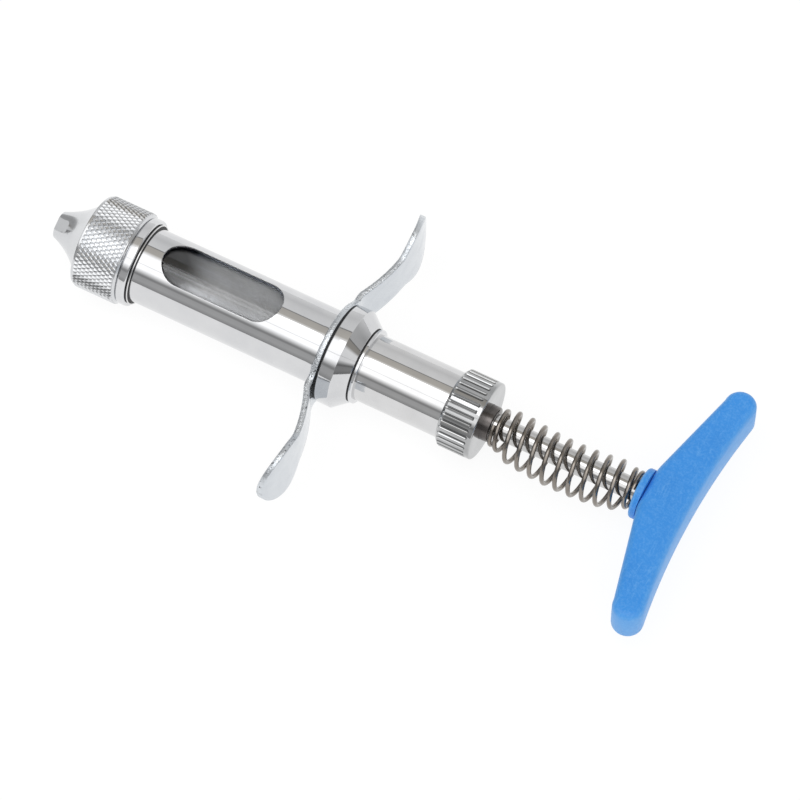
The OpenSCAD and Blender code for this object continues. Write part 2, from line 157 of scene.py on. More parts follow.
def outline(corners: Sequence[Turn], steps: int = 4, closed: bool = True) -> list[tuple]:
    """Round the corners of a turned outline.

    Args:
        corners: Corners in order round the section.
        steps: Segments of each rounded corner.
        closed: Whether the last corner joins the first.

    Returns:
        Rows of x, radius and wear, where wear is 1 on a broken edge.
    """
    rows = []
    count = len(corners)
    for i, corner in enumerate(corners):
        inner = closed or 0 < i < count - 1
        if corner.soften <= 0 or not inner:
            rows.append((corner.x, corner.r, 0.0))
            continue
        at = np.array([corner.x, corner.r])
        cuts = []
        for near in (corners[i - 1], corners[(i + 1) % count]):
            way = np.array([near.x, near.r]) - at
            length = np.linalg.norm(way)
            cuts.append(at + way / length * min(corner.soften, 0.49 * length))
        for k in range(steps + 1):
            t = k / steps
            x, r = (1 - t) ** 2 * cuts[0] + 2 * t * (1 - t) * at + t * t * cuts[1]
            rows.append((x, r, math.sin(math.pi * t)))
    return rows


class Shape:
    """Points, faces and edge wear of a mesh in the making."""

    def __init__(self) -> None:
        """Start with an empty mesh."""
        self.points: list[tuple[float, float, float]] = []
        self.faces: list[tuple[int, ...]] = []
        self.wear: list[float] = []

    def add(self, x: float, y: float, z: float, wear: float = 0.0) -> int:
        """Add one point and return its number.

        Args:
            x: Place along the syringe.
            y: Place across it.
            z: Height.
            wear: Edge wear; below 0 it is painted shade in a groove.

        Returns:
            Number of the point.
        """
        self.points.append((float(x), float(y), float(z)))
        self.wear.append(float(wear))
        return len(self.points) - 1

    def ring(self, x: Radius, r: Radius, angles: np.ndarray, wear: Radius = 0.0) -> list[int]:
        """Add a ring of points round the axis.

        Args:
            x: Station of the ring, or one per angle.
            r: Radius of the ring, or one per angle.
            angles: Angles from the top, in radians.
            wear: Edge wear of the points.

        Returns:
            Numbers of the points.
        """
        columns = [np.broadcast_to(value, angles.shape) for value in (x, r, angles, wear)]
        return [self.add(s, q * math.sin(a), q * math.cos(a), w) for s, q, a, w in zip(*columns)]

    def rings(self, rows: Sequence[tuple], angles: np.ndarray) -> list[list[int]]:
        """Add a ring for each row of x, radius and wear, and return them."""
        return [self.ring(x, r, angles, wear) for x, r, wear in rows]

    def bridge(self, first: Sequence[int], second: Sequence[int], closed: bool = True) -> None:
        """Join two rows of as many points with four-sided faces.

        Args:
            first: One row.
            second: The other row.
            closed: Whether the last points join the first ones.
        """
        count = len(first)
        for i in range(count if closed else count - 1):
            n = (i + 1) % count
            self.faces.append((first[i], first[n], second[n], second[i]))

    def skin(self, rows: Sequence[Sequence[int]], back: bool = False, closed: bool = True) -> None:
        """Join each row of points to the next one.

        Args:
            rows: Rows of as many points each.
            back: Whether the last row joins the first.
            closed: Whether each row is closed.
        """
        for first, second in zip(rows, [*rows[1:], *rows[:1 if back else 0]]):
            self.bridge(first, second, closed)

    def fan(self, row: Sequence[int], tip: int) -> None:
        """Join a closed row of points to one point."""
        for i, point in enumerate(row):
            self.faces.append((point, row[(i + 1) % len(row)], tip))

    def revolve(self, rows: Sequence[tuple], count: int, closed: bool = True) -> None:
        """Turn an outline round the axis.

        Args:
            rows: Rows of x, radius and wear; a radius of 0 makes a pole.
            count: Points of each ring.
            closed: Whether the last row joins the first.
        """
        angles = np.arange(count) * math.tau / count
        loops = [
            [self.add(x, 0, 0, wear)] if r < 1e-6 else self.ring(x, r, angles, wear)
            for x, r, wear in rows
        ]
        for first, second in zip(loops, [*loops[1:], *loops[:1 if closed else 0]]):
            if len(first) == 1 and len(second) > 1:
                self.fan(second, first[0])
            elif len(second) == 1 and len(first) > 1:
                self.fan(first, second[0])
            elif len(first) > 1:
                self.bridge(first, second)

    def build(self, name: str, sharp: float = SHARP) -> bpy.types.Object:
        """Make the object, with shared points merged and its faces looking outwards.

        Args:
            name: Name of the piece.
            sharp: Angle in degrees above which an edge is shown sharp.

        Returns:
            The new object, in the scene.
        """
        mesh = bpy.data.meshes.new(name)
        mesh.from_pydata([[v * MM for v in p] for p in self.points], [], self.faces)
        worn = mesh.attributes.new("wear", "FLOAT", "POINT")
        worn.data.foreach_set("value", np.array(self.wear, np.float32))
        piece = bpy.data.objects.new(name, mesh)
        bpy.context.scene.collection.objects.link(piece)
        tidy_mesh(piece, sharp)
        return piece


def tidy_mesh(piece: bpy.types.Object, sharp: float) -> None:
    """Merge doubled points, turn faces outwards and smooth all but the sharp edges.

    Args:
        piece: The mesh object.
        sharp: Angle in degrees above which an edge is shown sharp.
    """
    mesh = piece.data
    work = bmesh.new()
    work.from_mesh(mesh)
    bmesh.ops.remove_doubles(work, verts=work.verts, dist=MERGE * MM)
    bmesh.ops.dissolve_degenerate(work, edges=work.edges, dist=SLIVER * MM)
    bmesh.ops.recalc_face_normals(work, faces=work.faces)
    work.to_mesh(mesh)
    work.free()
    mesh.polygons.foreach_set("use_smooth", [True] * len(mesh.polygons))
    mesh.set_sharp_from_angle(angle=math.radians(sharp))
    mesh.update()


def carve(piece: bpy.types.Object, sharp: float, *cutters: bpy.types.Object) -> None:
    """Cut shapes out of a piece and drop the cutters.

    Args:
        piece: The piece that is cut.
        sharp: Angle in degrees above which an edge is shown sharp.
        *cutters: Closed meshes to take away.
    """
    for cutter in cutters:
        cut = piece.modifiers.new("cut", "BOOLEAN")
        cut.operation = "DIFFERENCE"
        cut.solver = "EXACT"
        cut.object = cutter
    bpy.context.view_layer.update()
    depsgraph = bpy.context.evaluated_depsgraph_get()
    mesh = bpy.data.meshes.new_from_object(piece.evaluated_get(depsgraph))
    piece.modifiers.clear()
    piece.data = mesh
    for cutter in cutters:
        bpy.data.objects.remove(cutter)
    tidy_mesh(piece, sharp)


def slab(
    edge: np.ndarray, half: float, soften: float,
    place: Callable[[float, float, float], tuple[float, float, float]],
    steps: int = 4, across: int = 10,
) -> Shape:
    """Make a plate with rounded edges from its outline.

    Args:
        edge: Points of the outline; the first and the middle one are its two tips, and points
            that are as far from the first tip face each other.
        half: Half the thickness.
        soften: Radius of the edges.
        place: Puts a point of the outline, with its height, in the syringe.
        steps: Segments of each quarter of the edge.
        across: Faces across the plate.

    Returns:
        The shape.
    """
    shape = Shape()
    ahead = np.roll(edge, -1, axis=0) - np.roll(edge, 1, axis=0)
    normal = np.stack([ahead[:, 1], -ahead[:, 0]], 1)
    normal /= np.linalg.norm(normal, axis=1)[:, None]
    if np.sum((edge - edge.mean(0)) * normal) < 0:
        normal = -normal
    loops = []
    for k in range(2 * steps + 1):
        turn = math.radians(-90 + 90 * k / steps)
        flat = math.copysign(half - soften, turn) * (0 if k == steps else 1)
        height = soften * math.sin(turn) + flat
        points = edge - normal * (soften * (1 - math.cos(turn)))
        worn = math.cos(turn) ** 2
        loops.append([shape.add(*place(u, v, height), worn) for u, v in points])
    shape.skin(loops)
    count, tip = len(edge), len(edge) // 2
    inner = edge - normal * soften
    for loop, height in ((loops[0], -half), (loops[-1], half)):
        rows = []
        for i in range(1, tip):
            one, other = inner[i], inner[count - i]
            between = [one + (other - one) * k / across for k in range(1, across)]
            added = [shape.add(*place(u, v, height)) for u, v in between]
            rows.append([loop[i], *added, loop[count - i]])
        shape.skin(rows, closed=False)
        for row, end in ((rows[0], loop[0]), (rows[-1], loop[tip])):
            shape.faces += [(a, b, end) for a, b in zip(row, row[1:])]
    return shape


class Nodes:
    """A node tree in the making, with short ways to add and join its nodes."""

    def __init__(self, tree: bpy.types.NodeTree, space: str) -> None:
        """Empty a tree and add the place of each point.

        Args:
            tree: Tree of a material or a world.
            space: Name of the coordinates that the nodes go by.
        """
        self.tree = tree
        tree.nodes.clear()
        self.place = self.add("TexCoord").outputs[space]

    def put(self, node: bpy.types.Node, key: str | int, value: object) -> None:
        """Join an output to a node's input, or set the input to a value.

        Args:
            node: The node.
            key: Name or number of its input.
            value: An output socket, or the value.
        """
        if isinstance(value, Socket):
            self.tree.links.new(value, node.inputs[key])
        else:
            node.inputs[key].default_value = value

    def add(self, kind: str, inputs: dict | None = None, **settings: object) -> bpy.types.Node:
        """Add a node.

        Args:
            kind: Type of the node, without the prefix that all share.
            inputs: Values or output sockets for its inputs, by name or number.
            **settings: Values for its own settings.

        Returns:
            The node.
        """
        node = self.tree.nodes.new("ShaderNode" + kind)
        for key, value in settings.items():
            setattr(node, key, value)
        for key, value in (inputs or {}).items():
            self.put(node, key, value)
        return node

    def math(self, operation: str, *values: float | Socket, clamp: bool = False) -> Socket:
        """Work out one value from others.

        Args:
            operation: What is done with them.
            *values: Numbers or output sockets.
            clamp: Whether the result stays between 0 and 1.

        Returns:
            The output that gives the result.
        """
        inputs = dict(enumerate(values))
        return self.add("Math", inputs, operation=operation, use_clamp=clamp).outputs[0]

    def noise(self, stretch: float | Colour, detail: float = 3.0, rough: float = 0.55) -> Socket:
        """Add a noise.

        Args:
            stretch: Noise cells per millimetre, or one number each for X, Y and Z.
            detail: Octaves of the noise.
            rough: Strength of the finer octaves.

        Returns:
            The output that gives the noise.
        """
        cells = stretch if isinstance(stretch, tuple) else (stretch,) * 3
        scale = self.add("Mapping", {"Vector": self.place, "Scale": [s / MM for s in cells]})
        return self.add("TexNoise", {
            "Vector": scale.outputs[0], "Scale": 1.0, "Detail": detail, "Roughness": rough,
        }).outputs["Fac"]

    def along(self, x: float = 0.0, y: float = 0.0, z: float = 0.0) -> Socket:
        """Add the distance in metres along a direction.

        Args:
            x: Share of the X axis in the direction.
            y: Share of the Y axis.
            z: Share of the Z axis.

        Returns:
            The output that gives the distance.
        """
        inputs = {0: self.place, 1: (x, y, z)}
        return self.add("VectorMath", inputs, operation="DOT_PRODUCT").outputs["Value"]

    def radius(self) -> Socket:
        """Add the distance from the X axis, in metres.

        Returns:
            The output that gives the distance.
        """
        inputs = {0: self.place, 1: (0.0, 1.0, 1.0)}
        flat = self.add("VectorMath", inputs, operation="MULTIPLY").outputs["Vector"]
        return self.add("VectorMath", {0: flat}, operation="LENGTH").outputs["Value"]

    def ramp(self, source: Socket, stops: Stops) -> Socket:
        """Turn a value into a colour.

        Args:
            source: The value.
            stops: Places from 0 to 1 with their colours.

        Returns:
            The output that gives the colour.
        """
        node = self.add("ValToRGB", {"Fac": source})
        ends = node.color_ramp.elements
        while len(ends) < len(stops):
            ends.new(0.5)
        for end, (at, colour) in zip(ends, stops):
            end.position = at
            end.color = (*colour, 1.0)
        return node.outputs["Color"]

    def span(self, source: Socket, low: float, high: float,
             start: float = 0.3, end: float = 0.7) -> Socket:
        """Take a value from one range to another.

        Args:
            source: The value.
            low: Result at the start.
            high: Result at the end.
            start: Lower end of the source's range.
            end: Upper end of the source's range.

        Returns:
            The output that gives the result.
        """
        return self.add("MapRange", {
            "Value": source, "From Min": start, "From Max": end, "To Min": low, "To Max": high,
        }).outputs["Result"]

    def mix(self, share: float | Socket, one: Socket, other: Colour | Socket,
            blend: str = "MIX") -> Socket:
        """Mix two colours.

        Args:
            share: Share of the second colour.
            one: The first colour.
            other: The second colour.
            blend: How they are mixed.

        Returns:
            The output that gives the colour.
        """
        second = (*other, 1.0) if isinstance(other, tuple) else other
        inputs = {0: share, 6: one, 7: second}
        return self.add("Mix", inputs, data_type="RGBA", blend_type=blend).outputs[2]

    def total(self, *parts: tuple[Socket, float]) -> Socket:
        """Add up values that each have a weight.

        Args:
            *parts: The values with their weights.

        Returns:
            The output that gives the sum.
        """
        last: float | Socket = 0.0
        for value, weight in parts:
            last = self.math("MULTIPLY_ADD", value, weight, last)
        return last


class Finish(Nodes):
    """A material in the making."""

    def __init__(self, name: str, **same: object) -> None:
        """Start a material with one surface shader.

        Args:
            name: Name of the material.
            **same: Inputs of the shader that are the same all over.
        """
        self.material = bpy.data.materials.new(name)
        self.material.use_nodes = True
        super().__init__(self.material.node_tree, "Object")
        self.shader = self.add("BsdfPrincipled")
        self.add("OutputMaterial", {"Surface": self.shader.outputs["BSDF"]})
        self.drive(**same)

    def drive(self, **values: object) -> None:
        """Set or join inputs of the shader; _ stands for a space in their names."""
        for key, value in values.items():
            self.put(self.shader, key.replace("_", " "), value)

    def worn(self) -> Socket:
        """Add the edge wear that the mesh carries; below 0 it is painted shade in the grooves."""
        return self.add("Attribute", attribute_name="wear").outputs["Fac"]

    def turned_marks(self, per_mm: float) -> Socket:
        """Add the fine rings that a lathe tool leaves round the X axis.

        Args:
            per_mm: Marks per millimetre.

        Returns:
            The output with a noise that changes along the turned outline only.
        """
        way = self.math("ADD", self.along(x=1.0), self.radius())
        inputs = {"Scale": 1.0, "Detail": 2.0, "W": self.math("MULTIPLY", way, per_mm / MM)}
        return self.add("TexNoise", inputs, noise_dimensions="1D").outputs["Fac"]

    def relief(self, height: Socket, strength: float, depth_mm: float) -> None:
        """Drive the shader's normal from a height.

        Args:
            height: The height, from 0 to 1.
            strength: Share of the full effect.
            depth_mm: Height of the relief in millimetres.
        """
        bump = self.add("Bump", {
            "Strength": strength, "Distance": depth_mm * MM, "Height": height,
        })
        self.drive(Normal=bump.outputs["Normal"])


@dataclass(frozen=True)
class Bore:
    """Satin inner wall of a plated tube, with draw lines along it, painted reflection lines and a painted
    shade over its front end.
    """

    limit: float = 9.4
    roughness: float = 0.4
    metallic: float = 0.4
    dark_x: float = 38.5
    light_x: float = 43.0
    bulge: float = 0.10
    middle_y: float = 1.0
    side: tuple[float, float] = (0.904, 0.428)
    side_dark: tuple[float, float] = (1.2, 2.2)
    reach: float = 9.0
    # Painted reflections: light and dark lines by height across the window.
    lit: Stops = (
        (0.00, (0.80, 0.80, 0.80)), (0.49, (0.70, 0.68, 0.67)), (0.540, (0.26, 0.23, 0.21)),
        (0.548, (1.0, 0.98, 0.97)), (0.572, (1.0, 0.98, 0.97)), (0.580, (0.20, 0.17, 0.16)),
        (0.604, (0.24, 0.21, 0.19)), (0.612, (1.0, 0.97, 0.96)), (0.636, (1.0, 0.97, 0.96)),
        (0.644, (0.26, 0.26, 0.28)), (0.72, (0.80, 0.84, 0.92)), (0.85, (0.90, 0.94, 1.0)),
        (0.93, (0.60, 0.66, 0.78)), (1.00, (0.48, 0.53, 0.66)),
    )
    # Painted shade over the front end, with one thin painted highlight line.
    unlit: Stops = (
        (0.0, (0.25, 0.24, 0.23)), (0.62, (0.22, 0.21, 0.20)), (0.640, (0.9, 0.9, 0.92)),
        (0.648, (0.9, 0.9, 0.92)), (0.655, (0.06, 0.06, 0.07)), (1.0, (0.07, 0.07, 0.09)),
    )

    def paint(self, finish: Finish) -> Socket:
        """Add the colour of the wall, with its painted reflections and painted shade.

        Args:
            finish: The material in the making.

        Returns:
            The output that gives the colour.
        """
        # Painted reflections: the lit ramp lays light and dark lines along the wall by height, dimmed by
        # draw streaks.
        height = finish.along(y=self.side[0], z=self.side[1])
        share = finish.span(height, 0.0, 1.0, -self.reach * MM, self.reach * MM)
        streaks = finish.noise((0.02, 1.8, 1.8), 3.0, 0.7)
        level = finish.span(streaks, 0.7, 1.0, 0.35, 0.6)
        reflections_and_draw_lines = finish.mix(1.0, finish.ramp(share, self.lit), level, "MULTIPLY")
        # Painted shade: the front end, except low down, takes the dark ramp, with a curved edge.
        off = finish.math("ADD", finish.along(y=1.0), -self.middle_y * MM)
        square = finish.math("MULTIPLY", off, off)
        edge = finish.math("MULTIPLY_ADD", square, self.bulge / MM, finish.along(x=1.0))
        behind = finish.span(edge, 0.0, 1.0, self.dark_x * MM, self.light_x * MM)
        below = finish.span(height, 1.0, 0.0, *(limit * MM for limit in self.side_dark))
        shade = finish.math("MAXIMUM", behind, below)
        return finish.mix(shade, finish.ramp(share, self.unlit), reflections_and_draw_lines)

    def mask(self, finish: Finish) -> Socket:
        """Add a value that is 1 on the inner wall and 0 elsewhere."""
        return finish.math("LESS_THAN", finish.radius(), self.limit * MM)


@dataclass(frozen=True)
class Metal:
    """A bright metal or plating with tool marks, faint stains, broken edges and painted shade in its
    grooves.
    """

    name: str
    colour: Colour
    stain: Colour
    roughness: float
    spread: float = 0.05
    marks_per_mm: float = 6.0
    mark_depth: float = 0.0004
    grain: Grain = Grain.TURNED
    wear: float = 0.5
    groove_shade_strength: float = 0.75
    groove_shade: Colour = (0.03, 0.03, 0.03)
    edge_pits: float = 0.0
    pit_colour: Colour = (0.06, 0.06, 0.065)
    bore: Bore | None = None

    def make(self) -> bpy.types.Material:
        """Make the material.

        Returns:
            The new material.
        """
        finish = Finish(self.name, Metallic=1.0)
        cloud, speck, worn = finish.noise(0.16, 4.0), finish.noise(2.2, 3.0, 0.7), finish.worn()
        if self.grain is Grain.TURNED:
            marks = finish.turned_marks(self.marks_per_mm)
        else:
            marks = finish.noise((self.marks_per_mm, 0.5, self.marks_per_mm), 2.0)
        edge_wear_and_highlight = finish.math("MULTIPLY", finish.math("MULTIPLY", worn, speck, clamp=True), self.wear)
        level = finish.span(cloud, self.roughness - self.spread, self.roughness + self.spread)
        fine = finish.span(marks, -0.35 * self.spread, 0.35 * self.spread)
        rough = [(level, 1.0), (fine, 1.0), (edge_wear_and_highlight, 0.12)]
        height = [(marks, 0.8), (speck, 0.2)]
        tint = finish.ramp(cloud, [(0.35, self.colour), (0.75, self.stain)])
        # Painted shade: where the mesh's wear is below 0, the grooves darken towards the shade colour.
        groove_shaded = finish.mix(finish.span(worn, self.groove_shade_strength, 0.0, -1.0, -0.15), tint, self.groove_shade)
        body = finish.mix(edge_wear_and_highlight, groove_shaded, tuple(min(1.0, c * 1.12 + 0.04) for c in self.colour))
        if self.edge_pits > 0:
            pits = finish.math("MULTIPLY", worn, finish.noise(1.5, 3.0, 0.75))
            height.append((pits, self.edge_pits / self.mark_depth))
            holes = finish.span(finish.noise(1.2, 2.0, 0.7), 1.0, 0.0, 0.33, 0.38)
            body = finish.mix(finish.math("MULTIPLY", worn, holes), body, self.pit_colour)
        if self.bore is not None:
            # Inside the tube the wall takes the painted reflections and painted shade of the bore.
            inside = self.bore.mask(finish)
            body = finish.mix(inside, body, self.bore.paint(finish))
            rough.append((inside, self.bore.roughness - self.roughness))
            finish.drive(Metallic=finish.span(inside, 1.0, self.bore.metallic, 0.0, 1.0))
        finish.drive(Base_Color=body, Roughness=finish.total(*rough))
        finish.relief(finish.total(*height), 0.6, self.mark_depth)
        return finish.material


@dataclass(frozen=True)
class Rubber:
    """A black moulded rubber with a dusty bloom."""

    name: str
    colour: Colour = (0.006, 0.006, 0.007)
    bloom: Colour = (0.02, 0.02, 0.022)
    roughness: float = 0.5
    grit_mm: float = 0.01

    def make(self) -> bpy.types.Material:
        """Make the material.

        Returns:
            The new material.
        """
        finish = Finish(self.name, Specular_IOR_Level=0.4)
        cloud = finish.noise(0.5, 4.0)
        finish.drive(
            Base_Color=finish.ramp(cloud, [(0.4, self.colour), (0.85, self.bloom)]),
            Roughness=finish.span(cloud, self.roughness - 0.08, self.roughness + 0.12),
        )
        finish.relief(finish.noise(9.0, 2.0, 0.6), 0.5, self.grit_mm)
        return finish.material


@dataclass(frozen=True)
class Plastic:
    """A moulded plastic with fine grain, flow clouds, small scuffs and a painted highlight on its rounded
    edges.
    """

    name: str
    colour: Colour
    shade: Colour
    scuff_and_highlight: Colour
    roughness: float = 0.42
    grain_mm: float = 0.035

    def make(self) -> bpy.types.Material:
        """Make the material.

        Returns:
            The new material.
        """
        finish = Finish(self.name, Specular_IOR_Level=0.45)
        cloud, grain, fine = finish.noise(0.07, 4.0), finish.noise(1.7, 4.0, 0.75), finish.noise(6.0, 2.0)
        streak = finish.noise((1.3, 0.2, 1.3), 4.0, 0.75)
        flow = finish.ramp(cloud, [(0.3, self.colour), (0.8, self.shade)])
        marks = finish.span(streak, 0.0, 0.45, 0.56, 0.74)
        mottle = finish.span(grain, 0.0, 0.42, 0.45, 0.72)
        grained = finish.mix(mottle, finish.mix(marks, flow, self.scuff_and_highlight), self.scuff_and_highlight)
        # Painted highlight: the rounded edges lighten towards the scuff colour.
        edge_wear_and_highlight = finish.math("MULTIPLY", finish.worn(), streak)
        level = finish.span(grain, self.roughness - 0.07, self.roughness + 0.1)
        finish.drive(Base_Color=finish.mix(edge_wear_and_highlight, grained, self.scuff_and_highlight),
                     Roughness=finish.total((level, 1.0), (marks, 0.2)))
        finish.relief(finish.total((grain, 0.75), (fine, 0.25)), 0.55, self.grain_mm)
        return finish.material


@dataclass(frozen=True)
class Glass:
    """A clear drawn glass with faint draw lines and a thin film towards its rear end."""

    name: str
    colour: Colour = (0.975, 0.985, 1.0)
    smear: Colour = (0.95, 0.97, 0.99)
    film: float = 0.15
    film_x: float = 37.0
    film_len: float = 9.0
    line_mm: float = 0.002

    def make(self) -> bpy.types.Material:
        """Make the material.

        Returns:
            The new material.
        """
        finish = Finish(self.name, IOR=1.47)
        cloud = finish.noise(0.2, 4.0)
        ends = (self.film_x * MM, (self.film_x + self.film_len) * MM)
        film = finish.span(finish.along(x=1.0), 0.0, self.film, *ends)
        patchy = finish.math("MULTIPLY", film, finish.span(cloud, 0.8, 1.2))
        finish.drive(
            Base_Color=finish.ramp(cloud, [(0.4, self.colour), (0.8, self.smear)]),
            Roughness=finish.span(cloud, 0.0, 0.025),
            Transmission_Weight=finish.math("SUBTRACT", 1.0, patchy),
        )
        finish.relief(finish.noise((0.03, 1.2, 1.2), 2.0), 0.25, self.line_mm)
        return finish.material


class Finishes:
    """All finishes of the syringe, each made once."""

    def __init__(self) -> None:
        """Make every material."""
        self.nose = Metal("nose_plating", (0.69, 0.70, 0.715), (0.62, 0.63, 0.645), 0.14, 0.04,
                          7.0, 0.0008, groove_shade_strength=0.12).make()
        self.ring = Metal("ring_plating", (0.70, 0.705, 0.715), (0.63, 0.635, 0.65), 0.07,
                          0.03).make()
        self.sleeve = Metal("sleeve_plating", (0.68, 0.685, 0.695), (0.63, 0.635, 0.65), 0.035,
                            0.015, 4.0, 0.00004, bore=Bore()).make()
        self.plate = Metal("plate_plating", (0.64, 0.67, 0.70), (0.57, 0.60, 0.64), 0.17, 0.05,
                           3.0, 0.0006, Grain.LAPPED, edge_pits=0.34).make()
        self.collar = Metal("collar_plating", (0.68, 0.685, 0.695), (0.60, 0.605, 0.62), 0.05,
                            0.02, 6.0, 0.0003).make()
        self.tube = Metal("tube_plating", (0.68, 0.68, 0.685), (0.62, 0.62, 0.625), 0.045, 0.02,
                          5.0, 0.00006).make()
        self.nut = Metal("nut_steel", (0.47, 0.475, 0.48), (0.37, 0.375, 0.38), 0.07, 0.03, 6.0,
                         0.0006).make()
        self.bush = Metal("bush_steel", (0.14, 0.13, 0.125), (0.09, 0.08, 0.078), 0.24, 0.06, 7.0,
                          0.0008).make()
        self.spring = Metal("spring_wire", (0.30, 0.275, 0.25), (0.20, 0.175, 0.15), 0.19, 0.06,
                            5.0, 0.0015, Grain.LAPPED).make()
        self.rod = Metal("rod_steel", (0.58, 0.575, 0.57), (0.48, 0.475, 0.47), 0.09, 0.03, 6.0,
                         0.0003).make()
        self.piston = Metal("piston_steel", (0.58, 0.59, 0.60), (0.50, 0.51, 0.52), 0.2, 0.05,
                            8.0, 0.0008).make()
        self.wire = Metal("bright_wire", (0.75, 0.75, 0.75), (0.62, 0.62, 0.62), 0.16, 0.05, 6.0,
                          0.01, Grain.LAPPED).make()
        self.brass = Metal("turned_brass", (0.72, 0.53, 0.24), (0.60, 0.41, 0.17), 0.24, 0.06,
                           6.0, 0.0008).make()
        self.rubber = Rubber("seal_rubber").make()
        self.washer = Plastic("washer_plastic", (0.78, 0.76, 0.70), (0.70, 0.68, 0.62),
                              (0.86, 0.85, 0.8), 0.5).make()
        self.blue = Plastic("blue_plastic", (0.036, 0.295, 0.82), (0.030, 0.26, 0.75),
                            (0.19, 0.50, 0.92)).make()
        self.glass = Glass("sight_glass").make()


@dataclass
class Part:
    """A sub-assembly, with the finishes and the frame's objects that it works with."""

    finishes: Finishes
    nodes: dict

    def show(self, piece: bpy.types.Object, material: bpy.types.Material, slot: str, node: str,
             body: Body = Body.BARREL) -> bpy.types.Object:
        """Dress a piece, let it ride on its body and hide the frame node that it stands for.

        Args:
            piece: The piece.
            material: Its finish.
            slot: Material slot of the record; not used.
            node: Frame node that it replaces.
            body: The body it moves with.

        Returns:
            The same piece.
        """
        piece.data.materials.clear()
        piece.data.materials.append(material)
        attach(piece, body.value)
        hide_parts(node)
        LOG.info("%s: %d faces on %s", piece.name, len(piece.data.polygons), body.value)
        return piece

    def turned(self, name: str, corners: Sequence[Turn], material: bpy.types.Material, slot: str,
               node: str, body: Body = Body.BARREL, steps: int = 4, count: int = FINE,
               closed: bool = True) -> None:
        """Build a turned piece and show it.

        Args:
            name: Name of the piece.
            corners: Corners of its outline.
            material: Its finish.
            slot: Material slot of the record; not used.
            node: Frame node that it replaces.
            body: The body it moves with.
            steps: Segments of each rounded corner.
            count: Points round the axis.
            closed: Whether the last corner joins the first.
        """
        shape = Shape()
        shape.revolve(outline(corners, steps, closed), count, closed)
        self.show(shape.build(name), material, slot, node, body)

    def dress(self, material: bpy.types.Material, *names: str) -> None:
        """Give frame nodes that stay in sight their finish.

        Args:
            material: The finish.
            *names: Names of the nodes.
        """
        for name in names:
            slots = self.nodes[name].material_slots
            if not slots:
                self.nodes[name].data.materials.append(material)
            for place in slots:
                place.material = material
            LOG.info("%s: frame node with %s", name, material.name)


